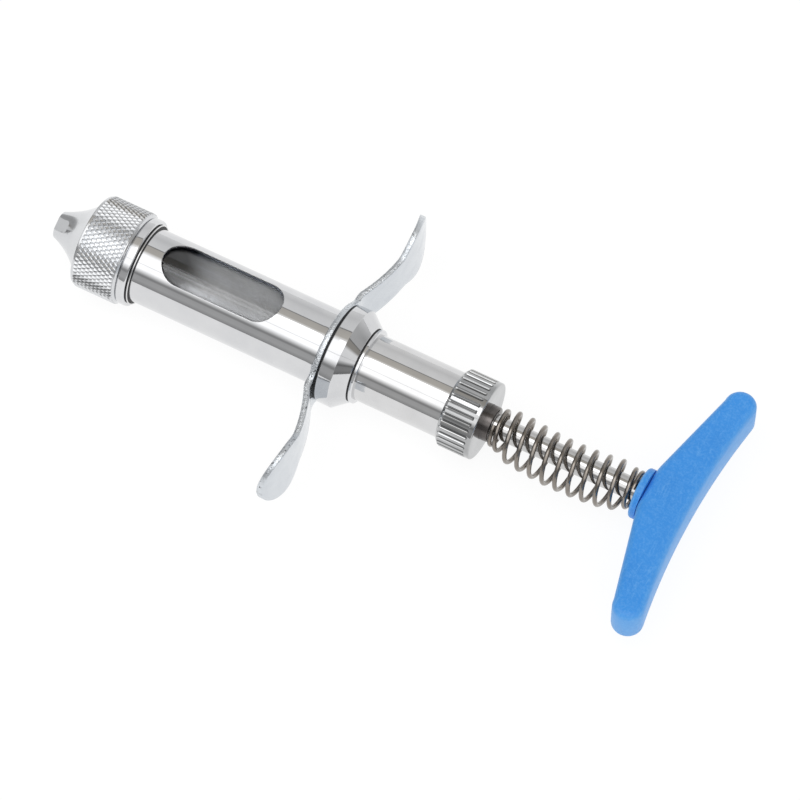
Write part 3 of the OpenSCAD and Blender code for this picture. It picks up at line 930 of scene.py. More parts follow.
@dataclass
class Nose(Part):
    """Nose cap: threaded socket, bell with two spanner slots, and knurled grip."""

    mouth_r: float = 3.6
    rim_r: float = 2.55
    bell_len: float = 9.8
    bell_r: float = 10.6
    bell_steps: int = 44
    slope_front: float = 0.36
    slope_rear: float = 1.25
    socket_r: float = 2.1
    socket_depth: float = 7.0
    thread_pitch: float = 0.75
    thread_depth: float = 0.26
    thread_steps: int = 6
    passage_r: float = 0.9
    pocket_x: float = 13.8
    pocket_r: float = 10.06
    pocket_bevel: float = 0.25
    slot_width: float = 3.4
    slot_depth: float = 0.45
    slot_len: float = 4.4
    slot_corner: float = 1.2
    slot_turn: float = 25.0
    knurls_round: int = 64
    knurl_rows: int = 5
    knurl_len: float = 2.2
    knurl_depth: float = 0.3
    knurl_top: float = 0.42
    knurl_x: float = 10.75
    sharp: float = 18.0

    def angles(self) -> np.ndarray:
        """Work out the angles of the points round every ring.

        Returns:
            Three angles to each diamond of the knurl, in radians.
        """
        offsets = np.array([-0.5, -0.5 * self.knurl_top, 0.5 * self.knurl_top])
        turns = (np.arange(self.knurls_round)[:, None] + offsets[None, :]).ravel()
        return turns * (math.tau / self.knurls_round)

    def bell(self, t: float) -> tuple[float, float]:
        """Follow the bell's curve.

        Args:
            t: Share of the way from the mouth to the grip.

        Returns:
            Station and radius.
        """
        knee_x = (self.slope_rear * self.bell_len - (self.bell_r - self.mouth_r)) / (
            self.slope_rear - self.slope_front
        )
        knee_r = self.mouth_r + self.slope_front * knee_x
        x = 2 * t * (1 - t) * knee_x + t * t * self.bell_len
        r = (1 - t) ** 2 * self.mouth_r + 2 * t * (1 - t) * knee_r + t * t * self.bell_r
        return x, r

    def bell_radius(self, x: float) -> float:
        """Radius of the bell at a station."""
        return float(np.interp(x, *np.array([self.bell(t / 60) for t in range(61)]).T))

    def knurl(self, shape: Shape, top_r: float) -> list[list[int]]:
        """Add the band of diamonds.

        Args:
            shape: The mesh that takes the faces.
            top_r: Radius over the diamonds.

        Returns:
            The rows of points at the band's front and rear edges.
        """
        count, low_r = self.knurls_round, top_r - self.knurl_depth
        step, lines, half_len = math.tau / count, 2 * self.knurl_rows, self.knurl_len / 2
        reach = self.knurl_top / 2

        def point(turns: float, x: float, r: float) -> int:
            """Add a point, worn on top and with painted shade in the grooves, and return its number."""
            a = turns * step
            return shape.add(x, r * math.sin(a), r * math.cos(a), 1.0 if r == top_r else -1.0)

        low = [
            [point(i + (j % 2) / 2 - 0.5, self.knurl_x + j * half_len, low_r)
             for i in range(count)]
            for j in range(lines + 1)
        ]
        borders: list[list[int]] = []
        for j in range(lines + 1):
            x = self.knurl_x + j * half_len
            border: list[int] = []
            for i in range(count):
                mid = i + (j % 2) / 2
                left, right = low[j][i], low[j][(i + 1) % count]
                facing = i if j % 2 == 0 else (i + 1) % count
                in_left, in_right = point(mid - reach, x, top_r), point(mid + reach, x, top_r)
                border += [left, in_left, in_right]
                cap = [in_left]
                if j > 0:
                    back = low[j - 1][facing]
                    in_back = point(mid, x - reach * self.knurl_len, top_r)
                    shape.faces += [(left, back, in_back, in_left), (back, right, in_right, in_back)]
                    cap.append(in_back)
                cap.append(in_right)
                if j < lines:
                    front = low[j + 1][facing]
                    in_front = point(mid, x + reach * self.knurl_len, top_r)
                    shape.faces += [(right, front, in_front, in_right), (front, left, in_left, in_front)]
                    cap.append(in_front)
                shape.faces.append(tuple(cap))
            if j in (0, lines):
                borders.append(border)
        return borders

    def thread(self, x: float, angles: np.ndarray) -> np.ndarray:
        """Radii of the threaded bore.

        Args:
            x: The station.
            angles: Angles of the points.

        Returns:
            One radius per angle.
        """
        phase = np.mod(x / self.thread_pitch - angles / math.tau, 1.0)
        ridge = 1 - np.abs(2 * phase - 1)
        fade = min(1.0, (self.socket_depth - 0.3 - x) / 0.6, (x - 0.25) / 0.5)
        return self.socket_r + self.thread_depth * np.clip(ridge * 1.3 - 0.15, 0, 1) * max(fade, 0)

    def slot_cutter(self, turn: float) -> bpy.types.Object:
        """Make the cutter of one spanner slot.

        Args:
            turn: Its angle about the axis, in degrees.

        Returns:
            The cutter.
        """
        half, corner, length = self.slot_width / 2, self.slot_corner, self.slot_len
        plan = [(-1.0, -half)]
        for k in range(9):
            a = math.radians(-90 + 90 * k / 8)
            plan.append((length - corner + corner * math.cos(a),
                         corner - half + corner * math.sin(a)))
        plan += [(x, -y) for x, y in reversed(plan)]
        shape = Shape()
        floor, roof = ([shape.add(x, y, z) for x, y in plan] for z in (0.0, 6.0))
        shape.bridge(floor, roof)
        shape.faces += [tuple(floor), tuple(roof)]
        cutter = shape.build("slot_cutter")
        rise = self.bell_radius(length) - self.mouth_r
        tilt = Matrix.Rotation(-math.atan2(rise, length), 4, "Y")
        lift = Matrix.Translation((0, 0, (self.mouth_r - self.slot_depth) * MM))
        cutter.matrix_world = Matrix.Rotation(math.radians(turn), 4, "X") @ lift @ tilt
        return cutter

    def build(self) -> None:
        """Build the nose and dress the washer behind it."""
        size, angles, shape = Gauge.of("nose_cap"), self.angles(), Shape()
        low_r = size.r - self.knurl_depth
        front = outline([
            Turn(0.0, self.rim_r), Turn(0.0, self.mouth_r, 0.12), Turn(*self.bell(0.04)),
        ], 8, closed=False)[:-1]
        steps = self.bell_steps
        front += [(*self.bell(t / steps), 0.0) for t in range(2, steps + 1)]
        front += outline([
            Turn(*self.bell(1.0)), Turn(self.bell_len, low_r, 0.95), Turn(self.knurl_x - 0.1, low_r),
        ], 8, closed=False)[1:]
        end, bevel = self.knurl_x + self.knurl_rows * self.knurl_len, self.pocket_bevel
        rear = outline([
            Turn(end + 0.08, low_r), Turn(end + 0.22, low_r, 0.05),
            Turn(size.x1, low_r - 0.52, 0.1), Turn(size.x1, self.pocket_r + bevel),
            Turn(size.x1 - bevel, self.pocket_r), Turn(self.pocket_x, self.pocket_r),
            Turn(self.pocket_x, self.passage_r), Turn(self.socket_depth + 0.7, self.passage_r),
            Turn(self.socket_depth, self.socket_r),
        ], 8, closed=False)
        loops = shape.rings(front, angles)
        first, last = self.knurl(shape, size.r)
        shape.skin([*loops, first])
        tail = shape.rings(rear, angles)
        pitch = self.thread_pitch / self.thread_steps
        for k in range(round((self.socket_depth - 0.5) / pitch) + 1):
            x = self.socket_depth - 0.15 - k * self.thread_pitch / self.thread_steps
            tail.append(shape.ring(x, self.thread(x, angles), angles))
        shape.skin([last, *tail, loops[0]])
        piece = shape.build("nose_body", self.sharp)
        carve(piece, self.sharp, *(self.slot_cutter(self.slot_turn + t) for t in (0, 180)))
        self.show(piece, self.finishes.nose, "nose_metal", "nose_cap")
        self.dress(self.finishes.washer, "nose_washer")


@dataclass
class FrontRing(Part):
    """Plain lock ring behind the grip, with its lip seal and garter wire."""

    bore_r: float = 10.06
    gap: float = 0.02
    bevel: tuple[float, float] = (0.5, 0.45)
    seal_seat_r: float = 10.81
    seal_depth: float = 0.7
    seal_fit: float = 0.005
    lip: float = 0.09
    lip_thick: float = 0.3

    def build(self) -> None:
        """Build the ring and the seal with a groove for its wire, and dress the wire."""
        size, wire = Gauge.of("lock_ring"), Gauge.of("garter_wire")
        x0, seat, step = size.x0 + self.gap, self.seal_seat_r, size.x1 - self.seal_depth
        self.turned("lock_band", [
            Turn(x0, self.bore_r), Turn(x0, size.r - self.bevel[1], 0.06),
            Turn(size.x0 + self.bevel[0], size.r, 0.12), Turn(size.x1, size.r, 0.8),
            Turn(size.x1, seat, 0.06), Turn(step, seat), Turn(step, self.bore_r),
        ], self.finishes.ring, "polished_ring", "lock_ring", steps=7)
        start, bore = Gauge.of("front_seal").x0, Gauge.of("barrel_sleeve").r + self.seal_fit
        groove, end = wire.r - (wire.x1 - wire.x0), wire.x1 + self.lip
        self.turned("lip_seal", [
            Turn(start, bore), Turn(start, seat), Turn(size.x1, seat),
            Turn(wire.x0 - 0.03, seat - 0.05, 0.05), Turn(wire.x0, groove),
            Turn(wire.x1 - 0.04, groove), Turn(end, bore + self.lip_thick, 0.1), Turn(end, bore),
        ], self.finishes.rubber, "seal_rubber", "front_seal")
        self.dress(self.finishes.wire, "garter_wire")


@dataclass
class Sleeve(Part):
    """Metal sleeve of the barrel, with a long rounded sight window over the glass."""

    inner_r: float = 8.95
    glass_bore: float = 8.1
    glass_edge: float = 0.2
    window_x: float = 30.9
    window_len: float = 33.3
    window_w: float = 11.8
    frame_gap: float = 3.6
    frame_angle: float = 62.0
    edge: float = 0.16
    edge_steps: int = 4
    end_edge: float = 0.12
    end_steps: int = 22
    side_steps: int = 26
    back_steps: int = 73
    end_rings: int = 6
    spread: tuple[float, ...] = (0.0, 0.03, 0.08, 0.16, 0.3, 0.5, 0.75, 1.0)

    def hubs(self) -> tuple[float, float]:
        """Stations of the middles of the window's two round ends."""
        half = self.window_w / 2
        return self.window_x + half, self.window_x + self.window_len - half

    def plan(self, grow: float = 0.0) -> np.ndarray:
        """Outline of the window seen from above, from the middle of its front end.

        Args:
            grow: How far the outline is moved outwards.

        Returns:
            Rows of x and y.
        """
        reach = self.window_w / 2 + grow
        x0, x1 = self.hubs()
        turn = np.linspace(0, math.pi / 2, self.end_steps + 1)
        near = np.stack([x0 - reach * np.cos(turn), reach * np.sin(turn)], 1)
        along = np.linspace(x0, x1, self.side_steps + 1)[1:-1]
        side = np.stack([along, np.full(self.side_steps - 1, reach)], 1)
        far = np.stack([x1 + reach * np.sin(turn), reach * np.cos(turn)], 1)
        top = np.concatenate([near, side, far])
        return np.concatenate([top, top[-2:0:-1] * [1, -1]])

    def frame(self) -> np.ndarray:
        """Rectangle on the wall round the window.

        Returns:
            Rows of x and angle, one for each point of the outline.
        """
        x0, x1 = self.hubs()
        low, high = self.window_x - self.frame_gap, self.window_x + self.window_len + self.frame_gap
        reach, corner = math.radians(self.frame_angle), self.end_steps // 2
        points = []
        for x, y in self.plan():
            if x0 <= x <= x1:
                points.append((x, math.copysign(reach, y)))
                continue
            at = abs(math.atan2(y, x0 - x if x < x0 else x - x1)) / (math.pi / 2)
            share = at * self.end_steps / corner
            edge_x, hub = (low, x0) if x < x0 else (high, x1)
            if share <= 1:
                points.append((edge_x, math.copysign(reach * share, y)))
            else:
                along = (at * self.end_steps - corner) / (self.end_steps - corner)
                points.append((edge_x + (hub - edge_x) * along, math.copysign(reach, y)))
        return np.array(points)

    def wall(self, shape: Shape, size: Gauge, r: float,
             grow: float) -> tuple[list[int], list[list[int]], np.ndarray]:
        """Add one wall of the sleeve with the window left open.

        Args:
            shape: The mesh that takes the faces.
            size: Reach of the sleeve.
            r: Radius of the wall.
            grow: How far the window's outline is moved outwards on this wall.

        Returns:
            The row of points round the window, the rings at the sleeve's ends, and the angles
            of their points.
        """
        plan, frame = self.plan(grow), self.frame()
        hole = np.stack([plan[:, 0], np.arcsin(plan[:, 1] / r)], 1)
        rows = [
            [shape.add(x, r * math.sin(a), r * math.cos(a)) for x, a in hole + (frame - hole) * share]
            for share in self.spread
        ]
        shape.skin(rows)
        border = rows[-1]
        count, tip, corner = len(border), len(border) // 2, self.end_steps // 2
        front = [border[i % count] for i in range(-corner, corner + 1)]
        top = border[corner:tip - corner + 1]
        rear = [border[i] for i in range(tip + corner, tip - corner - 1, -1)]
        bottom = [border[i % count] for i in range(count - corner, tip + corner - 1, -1)]
        reach = math.radians(self.frame_angle)
        around = np.linspace(reach, math.tau - reach, self.back_steps)[1:-1]
        stations = [shape.points[i][0] for i in top]
        back = [
            [above, *shape.ring(x, r, around), below]
            for above, x, below in zip(top, stations, bottom)
        ]
        shape.skin(back, closed=False)
        front_ring, rear_ring = [*front, *back[0][1:-1]], [*rear, *back[-1][1:-1]]
        angles = np.array([math.atan2(*shape.points[i][1:]) for i in front_ring])
        ends = []
        for ring, start, end in (
            (front_ring, stations[0], size.x0 + self.end_edge),
            (rear_ring, stations[-1], size.x1 - self.end_edge),
        ):
            for x in np.linspace(start, end, self.end_rings)[1:]:
                new = shape.ring(x, r, angles)
                shape.bridge(ring, new)
                ring = new
            ends.append(ring)
        return rows[0], ends, angles

    def true_round(self, shell: bpy.types.Object, size: Gauge) -> None:
        """Point the normals of the outer wall straight away from the axis.

        Args:
            shell: The sleeve.
            size: Reach of the sleeve.
        """
        normals = []
        for vertex in shell.data.vertices:
            x, y, z = vertex.co / MM
            on_wall = abs(math.hypot(y, z) - size.r) < 0.002
            inside = size.x0 + 0.2 < x < size.x1 - 0.2
            normals.append((0.0, y / size.r, z / size.r) if on_wall and inside else (0, 0, 0))
        shell.data.normals_split_custom_set_from_vertices(normals)

    def build(self) -> None:
        """Build the sleeve and the glass and dress the rear washer."""
        size, shape = Gauge.of("barrel_sleeve"), Shape()
        hole_out, ends_out, angles = self.wall(shape, size, size.r, self.edge)
        hole_in, ends_in, _ = self.wall(shape, size, self.inner_r, 0.0)
        last = hole_out
        for k in range(1, self.edge_steps + 1):
            turn = math.radians(90 * k / self.edge_steps)
            plan = self.plan(self.edge * (1 - math.sin(turn)))
            r = size.r - self.edge * (1 - math.cos(turn))
            new = [shape.add(x, y, math.sqrt(r * r - y * y), 1.0) for x, y in plan]
            shape.bridge(last, new)
            last = new
        shape.bridge(last, hole_in)
        for outer, inner, x in zip(ends_out, ends_in, (size.x0, size.x1)):
            rim = shape.ring(x, size.r - self.end_edge, angles, 1.0)
            lip = shape.ring(x, self.inner_r + self.end_edge, angles)
            shape.skin([outer, rim, lip, inner])
        shell = shape.build("barrel_shell")
        self.true_round(shell, size)
        self.show(shell, self.finishes.sleeve, "barrel_chrome", "barrel_sleeve")
        pipe, bore, edge = Gauge.of("glass_cylinder"), self.glass_bore, self.glass_edge
        self.turned("sight_glass", [
            Turn(pipe.x0, bore, edge), Turn(pipe.x0, pipe.r, edge),
            Turn(pipe.x1, pipe.r, edge), Turn(pipe.x1, bore, edge),
        ], self.finishes.glass, "clear_glass", "glass_cylinder")
        self.dress(self.finishes.washer, "rear_washer")


@dataclass
class FingerPlate(Part):
    """Pressed finger plate with two leaning wings and rounded paddles."""

    thick: float = 1.6
    hub_r: float = 13.3
    neck_w: float = 13.0
    paddle_w: float = 19.2
    paddle_len: float = 17.0
    lean_back: float = 4.7
    tip_curl: float = 2.4
    bend_half: float = 0.9
    blend: float = 2.5
    edge: float = 0.32
    bore_r: float = 8.93
    side_steps: int = 58
    tip_steps: int = 24
    cut_reach: float = 4.0

    def lean(self, a: float, mid: float) -> float:
        """How far the rear face leans back.

        Args:
            a: Distance from the axis.
            mid: Distance of the paddle's middle from the axis.

        Returns:
            The lean in millimetres.
        """
        start = self.hub_r + self.bend_half
        u = min(1.0, soft_ramp(a - start, self.bend_half) / (mid - 2 - start))
        v = max(0.0, (a - mid + 2) / (self.paddle_len / 2 + 2))
        return self.lean_back * (1 - (1 - u) ** 2) - self.tip_curl * v * v

    def half_width(self, a: float, mid: float) -> float:
        """Half the plate's width.

        Args:
            a: Distance from the axis.
            mid: Distance of the paddle's middle from the axis.

        Returns:
            Half the width in millimetres.
        """
        hub = math.sqrt(max(self.hub_r ** 2 - a * a, 0.0))
        u = (a - mid) / (self.paddle_len / 2)
        paddle = self.paddle_w / 2 * math.sqrt(max(1 - u * u, 0.0))
        return blend_max(blend_max(hub, self.neck_w / 2, self.blend), paddle, self.blend)

    def place(self, rear_x: float, mid: float, y: float, z: float,
              w: float) -> tuple[float, float, float]:
        """Put a point of the flat plate on the bent one.

        Args:
            rear_x: Station of the rear face at the hub.
            mid: Distance of the paddle's middle from the axis.
            y: Place along the plate.
            z: Place across it.
            w: Height over the plate's middle.

        Returns:
            The point.
        """
        a = abs(y)
        slope = (self.lean(a + 0.1, mid) - self.lean(a - 0.1, mid)) / 0.2
        fall = (self.thick / 2 - w) * math.sqrt(1 + slope * slope)
        return rear_x + self.lean(a, mid) - fall, y, z

    def build(self) -> None:
        """Build the plate."""
        size = Gauge.of("finger_plate")
        mid, rear_x = size.y - self.paddle_len / 2, size.x0 + self.thick
        stations = [(a, self.half_width(a, mid)) for a in np.linspace(0, mid, self.side_steps)]
        tip_half = blend_max(self.paddle_w / 2, self.neck_w / 2, self.blend)
        for k in range(1, self.tip_steps + 1):
            turn = math.radians(90 * k / self.tip_steps)
            stations.append((mid + self.paddle_len / 2 * math.sin(turn), tip_half * math.cos(turn)))
        top = [(-a, w) for a, w in reversed(stations[1:])] + stations
        edge = np.array(top + [(a, -w) for a, w in top[-2:0:-1]])
        shape = slab(edge, self.thick / 2, self.edge, partial(self.place, rear_x, mid), 4, 14)
        plate = shape.build("finger_wings")
        carve(plate, SHARP, plug([(rear_x - self.cut_reach, self.bore_r),
                                  (rear_x + self.cut_reach, self.bore_r)], 128))
        self.show(plate, self.finishes.plate, "plate_steel", "finger_plate")


@dataclass
class Collar(Part):
    """Clamp collar with its cone, and the ring that keeps the seal behind it."""

    bore_r: float = 8.93
    band_len: float = 3.7
    cone_r: float = 10.3
    ring_bore: float = 8.9

    def build(self) -> None:
        """Build the collar and the ring and dress the seals between them."""
        size, lip = Gauge.of("clamp_collar"), Gauge.of("retaining_ring")
        self.turned("clamp_cone", [
            Turn(size.x0, self.bore_r), Turn(size.x0, size.r, 0.22),
            Turn(size.x0 + self.band_len, size.r, 0.1), Turn(size.x1, self.cone_r, 0.12),
            Turn(size.x1, self.bore_r),
        ], self.finishes.collar, "collar_chrome", "clamp_collar")
        self.turned("keeper_ring", [
            Turn(lip.x0, self.ring_bore), Turn(lip.x0, lip.r, 0.15),
            Turn(lip.x1, lip.r, 0.4), Turn(lip.x1, self.ring_bore),
        ], self.finishes.ring, "bright_ring", "retaining_ring", steps=6)
        self.dress(self.finishes.rubber, "plate_gasket", "collar_seal")


@dataclass
class RearEnd(Part):
    """Rear tube, fluted end nut, guide bush and the rubber parts inside them."""

    tube_bore: float = 7.4
    nut_wall: float = 2.4
    nut_edge: float = 0.8
    nut_fit: float = 0.03
    nut_stations: tuple[float, ...] = (0.0, 0.1, 0.2, 0.35, 0.5, 0.65, 0.8)
    flutes: int = 36
    flute_steps: int = 14
    flute_r: float = 0.55
    rim: float = 1.1
    bush_r: float = 4.7
    rod_bore: float = 2.925
    wiper_half: float = 0.45
    wiper_out: float = 3.795

    def nut_radius(self, x: float, angles: np.ndarray, size: Gauge) -> np.ndarray:
        """Radii of the fluted nut at a station.

        Args:
            x: The station.
            angles: Angles of the points.
            size: Reach of the nut.

        Returns:
            One radius per angle.
        """
        plain = size.r - max(0.0, self.nut_edge - (x - size.x0))
        pitch = math.tau / self.flutes
        side = size.r * np.sin(np.mod(angles + pitch / 2, pitch) - pitch / 2)
        run_out = max(0.0, x - (size.x1 - self.rim - self.flute_r)) / self.flute_r
        room = self.flute_r ** 2 * (1 - min(run_out, 1.0) ** 2) - side ** 2
        floor = size.r + self.flute_r / 3 - np.sqrt(np.maximum(room, 0.0))
        return np.where(room > 0, np.minimum(floor, plain), plain)

    def build_nut(self, tube_r: float) -> None:
        """Build the fluted nut.

        Args:
            tube_r: Radius of the tube it screws on.
        """
        size, shape, count = Gauge.of("end_nut"), Shape(), self.flutes * self.flute_steps
        angles = np.arange(count) * math.tau / count
        bore, guide = tube_r + self.nut_fit, self.bush_r + self.nut_fit
        length = size.x1 - size.x0
        flat_end = length - self.rim - self.flute_r
        xs = [*self.nut_stations, *np.linspace(1.2, flat_end, 8)]
        xs += [flat_end + self.flute_r * math.sin(math.radians(t)) for t in range(10, 91, 10)]
        loops = []
        for x in [*xs, length - 0.8]:
            r = self.nut_radius(size.x0 + x, angles, size)
            depth = (size.r - r) / (self.flute_r * 0.667)
            # Painted shade in the flute bottoms, as wear below 0; real edge wear of 0.4 on the front
            # chamfer.
            groove_shade = -np.clip(2.2 * depth - 1.1, 0, 1) if x > self.nut_edge else 0.4
            loops.append(shape.ring(size.x0 + x, r, angles, groove_shade))
        floor_x = size.x1 - self.nut_wall
        loops += shape.rings(outline([
            Turn(size.x1 - 0.75, size.r), Turn(size.x1, size.r, 0.6), Turn(size.x1, guide, 0.1),
            Turn(floor_x, guide), Turn(floor_x, bore), Turn(size.x0, bore, 0.2),
            Turn(size.x0, size.r - self.nut_edge),
        ], 6, closed=False)[:-1], angles)
        shape.skin(loops, back=True)
        self.show(shape.build("fluted_nut", 42.0), self.finishes.nut, "nut_steel", "end_nut")

    def build(self) -> None:
        """Build the tube, the nut and the bush, and dress the rubber inside."""
        tube, bush = Gauge.of("rear_tube"), Gauge.of("guide_bush")
        self.turned("tube_shell", [
            Turn(tube.x0, self.tube_bore, 0.2), Turn(tube.x0, tube.r, 0.3),
            Turn(tube.x1, tube.r, 0.3), Turn(tube.x1, self.tube_bore, 0.2),
        ], self.finishes.tube, "tube_chrome", "rear_tube")
        self.build_nut(tube.r)
        flange_x = Gauge.of("end_nut").x1 - self.nut_wall
        middle = (bush.x0 + flange_x) / 2
        front, rear = middle - self.wiper_half, middle + self.wiper_half
        self.turned("rod_guide", [
            Turn(bush.x0, self.rod_bore, 0.15), Turn(bush.x0, bush.r, 0.2),
            Turn(flange_x, bush.r, 0.1), Turn(flange_x, self.bush_r),
            Turn(bush.x1, self.bush_r, 0.45), Turn(bush.x1, self.rod_bore, 0.3),
            Turn(rear, self.rod_bore), Turn(rear, self.wiper_out),
            Turn(front, self.wiper_out), Turn(front, self.rod_bore),
        ], self.finishes.bush, "bush_steel", "guide_bush", steps=5, count=MEDIUM)
        self.dress(self.finishes.rubber, "wiper_ring", "stop_buffer")


@dataclass
class Spring(Part):
    """Return spring: closed, ground ends, an even pitch, and a slight bow to one side."""

    wire: float = 1.2
    outer_r: float = 6.85
    end_r: float = 5.35
    turns: int = 12
    start: float = 115.0
    bow: float = 1.8
    bow_turn: float = 205.0
    gap: float = 0.1
    per_turn: int = 44
    sides: int = 14
    shut: float = 0.3965
    close_pitch: float = 1.03
    grind: float = 0.35
    grind_turns: float = 0.8

    def centre(self, turn: float, x0: float, x1: float) -> Vector:
        """Middle of the wire.

        Args:
            turn: Turns from the front end.
            x0: Front end of the spring.
            x1: Rear end of the spring.

        Returns:
            The point.
        """
        rise, closed = x1 - x0 - self.wire, self.wire * self.close_pitch
        if turn < 1:
            x = closed * turn
        elif turn > self.turns - 1:
            x = rise - closed * (self.turns - turn)
        else:
            x = closed + (rise - 2 * closed) * (turn - 1) / (self.turns - 2)
        u = min(1.0, max(0.0, (min(turn, self.turns - turn) - 0.75) / 1.5))
        r = self.end_r + (self.outer_r - self.end_r) * u * u * (3 - 2 * u) - self.wire / 2
        lean = self.bow * math.sin(math.pi * x / rise)
        a, b = math.radians(self.start + 360 * turn), math.radians(self.bow_turn)
        return Vector((
            x0 + self.wire / 2 + x,
            r * math.cos(a) + lean * math.cos(b),
            r * math.sin(a) + lean * math.sin(b),
        ))

    def build(self) -> None:
        """Build the spring."""
        size, shape = Gauge.of("return_spring"), Shape()
        loops = []
        for i in range(self.turns * self.per_turn + 1):
            turn = i / self.per_turn
            here, ahead, behind = (self.centre(t, size.x0, size.x1) for t in (
                turn, min(turn + 0.01, self.turns), max(turn - 0.01, 0.0),
            ))
            along = (ahead - behind).normalized()
            side = along.cross(Vector((1, 0, 0))).normalized()
            up = side.cross(along)
            near_end = min(turn, self.turns - turn)
            cut = self.wire * self.grind * max(0.0, 1 - near_end / self.grind_turns)
            loop = []
            for k in range(self.sides):
                a = math.tau * k / self.sides
                p = here + (side * math.cos(a) + up * math.sin(a)) * self.wire / 2
                loop.append(shape.add(min(max(p.x, size.x0 + cut), size.x1 - cut), p.y, p.z))
            loops.append(loop)
        shape.skin(loops)
        shape.faces += [tuple(loops[0]), tuple(loops[-1])]
        coil = self.show(shape.build("spring_coil", 60.0), self.finishes.spring, "spring_steel",
                         "return_spring")
        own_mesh(coil)


@dataclass
class Plunger(Part):
    """Rod with its stop collar, and the piston with its lock nut."""

    rod_r: float = 2.875
    stud_r: float = 2.2
    stud_fit: float = 0.02
    stud_gap: float = 0.1
    handle_stud: float = 8.0
    ring_r: float = 0.6
    ring_step: float = 3.0
    ring_floor: float = 6.88
    nut_corner: float = 5.0
    nut_bevel: tuple[tuple[float, float], ...] = ((0.0, 4.45), (0.15, 4.72), (0.35, 5.0))

    def build(self) -> None:
        """Build the rod and what sits on its front end, and dress the pin and the rings."""
        rod, piston, stop = Gauge.of("plunger_rod"), Gauge.of("piston"), Gauge.of("stop_collar")
        shoulder, body = rod.x1 - self.handle_stud, Body.PLUNGER
        self.turned("push_rod", [
            Turn(rod.x0, 0.0), Turn(rod.x0, self.stud_r, 0.3), Turn(piston.x1, self.stud_r),
            Turn(piston.x1, self.rod_r, 0.2), Turn(shoulder, self.rod_r, 0.2),
            Turn(shoulder, self.stud_r), Turn(rod.x1, self.stud_r, 0.3), Turn(rod.x1, 0.0),
        ], self.finishes.rod, "rod_steel", "plunger_rod", body, count=COARSE, closed=False)
        self.turned("rod_stop", [
            Turn(stop.x0, self.rod_r), Turn(stop.x0, stop.r, 0.5),
            Turn(stop.x1, stop.r, 0.5), Turn(stop.x1, self.rod_r),
        ], self.finishes.rod, "stop_steel", "stop_collar", body, count=COARSE)
        corners = [Turn(piston.x0, 0.0), Turn(piston.x0, piston.r, 0.8)]
        front = piston.x1 - 2 * self.ring_r - self.ring_step
        for x in (front, front + self.ring_step):
            near, far = x - self.ring_r, x + self.ring_r
            corners += [Turn(near, piston.r, 0.1), Turn(near, self.ring_floor, 0.1),
                        Turn(far, self.ring_floor, 0.1), Turn(far, piston.r, 0.1)]
        bore, bottom = self.stud_r + self.stud_fit, rod.x0 - self.stud_gap
        corners += [Turn(piston.x1, piston.r, 0.3), Turn(piston.x1, bore), Turn(bottom, bore),
                    Turn(bottom, 0.0)]
        self.turned("piston_body", corners, self.finishes.piston, "piston_steel", "piston", body,
                    count=MEDIUM, closed=False)
        self.build_lock_nut()
        self.dress(self.finishes.bush, "stop_pin")
        self.dress(self.finishes.rubber, "piston_ring_front", "piston_ring_rear")

    def build_lock_nut(self) -> None:
        """Build the hexagonal lock nut with its chamfered corners."""
        size, shape = Gauge.of("piston_lock_nut"), Shape()
        angles = np.arange(MEDIUM) * math.tau / MEDIUM
        flat, bore = self.nut_corner * math.cos(math.pi / 6), self.rod_r + self.stud_fit
        hexagon = flat / np.cos(np.mod(angles, math.pi / 3) - math.pi / 6)
        stations = [(size.x0 + x, limit) for x, limit in self.nut_bevel]
        stations += [(size.x1 - x, limit) for x, limit in reversed(self.nut_bevel)]
        sides = [(x, np.minimum(hexagon, limit), 1.0) for x, limit in stations]
        loops = shape.rings([(size.x0, bore, 0.0), *sides, (size.x1, bore, 0.0)], angles)
        shape.skin(loops, back=True)
        self.show(shape.build("hex_nut", 20.0), self.finishes.brass, "brass", "piston_lock_nut",
                  Body.PLUNGER)


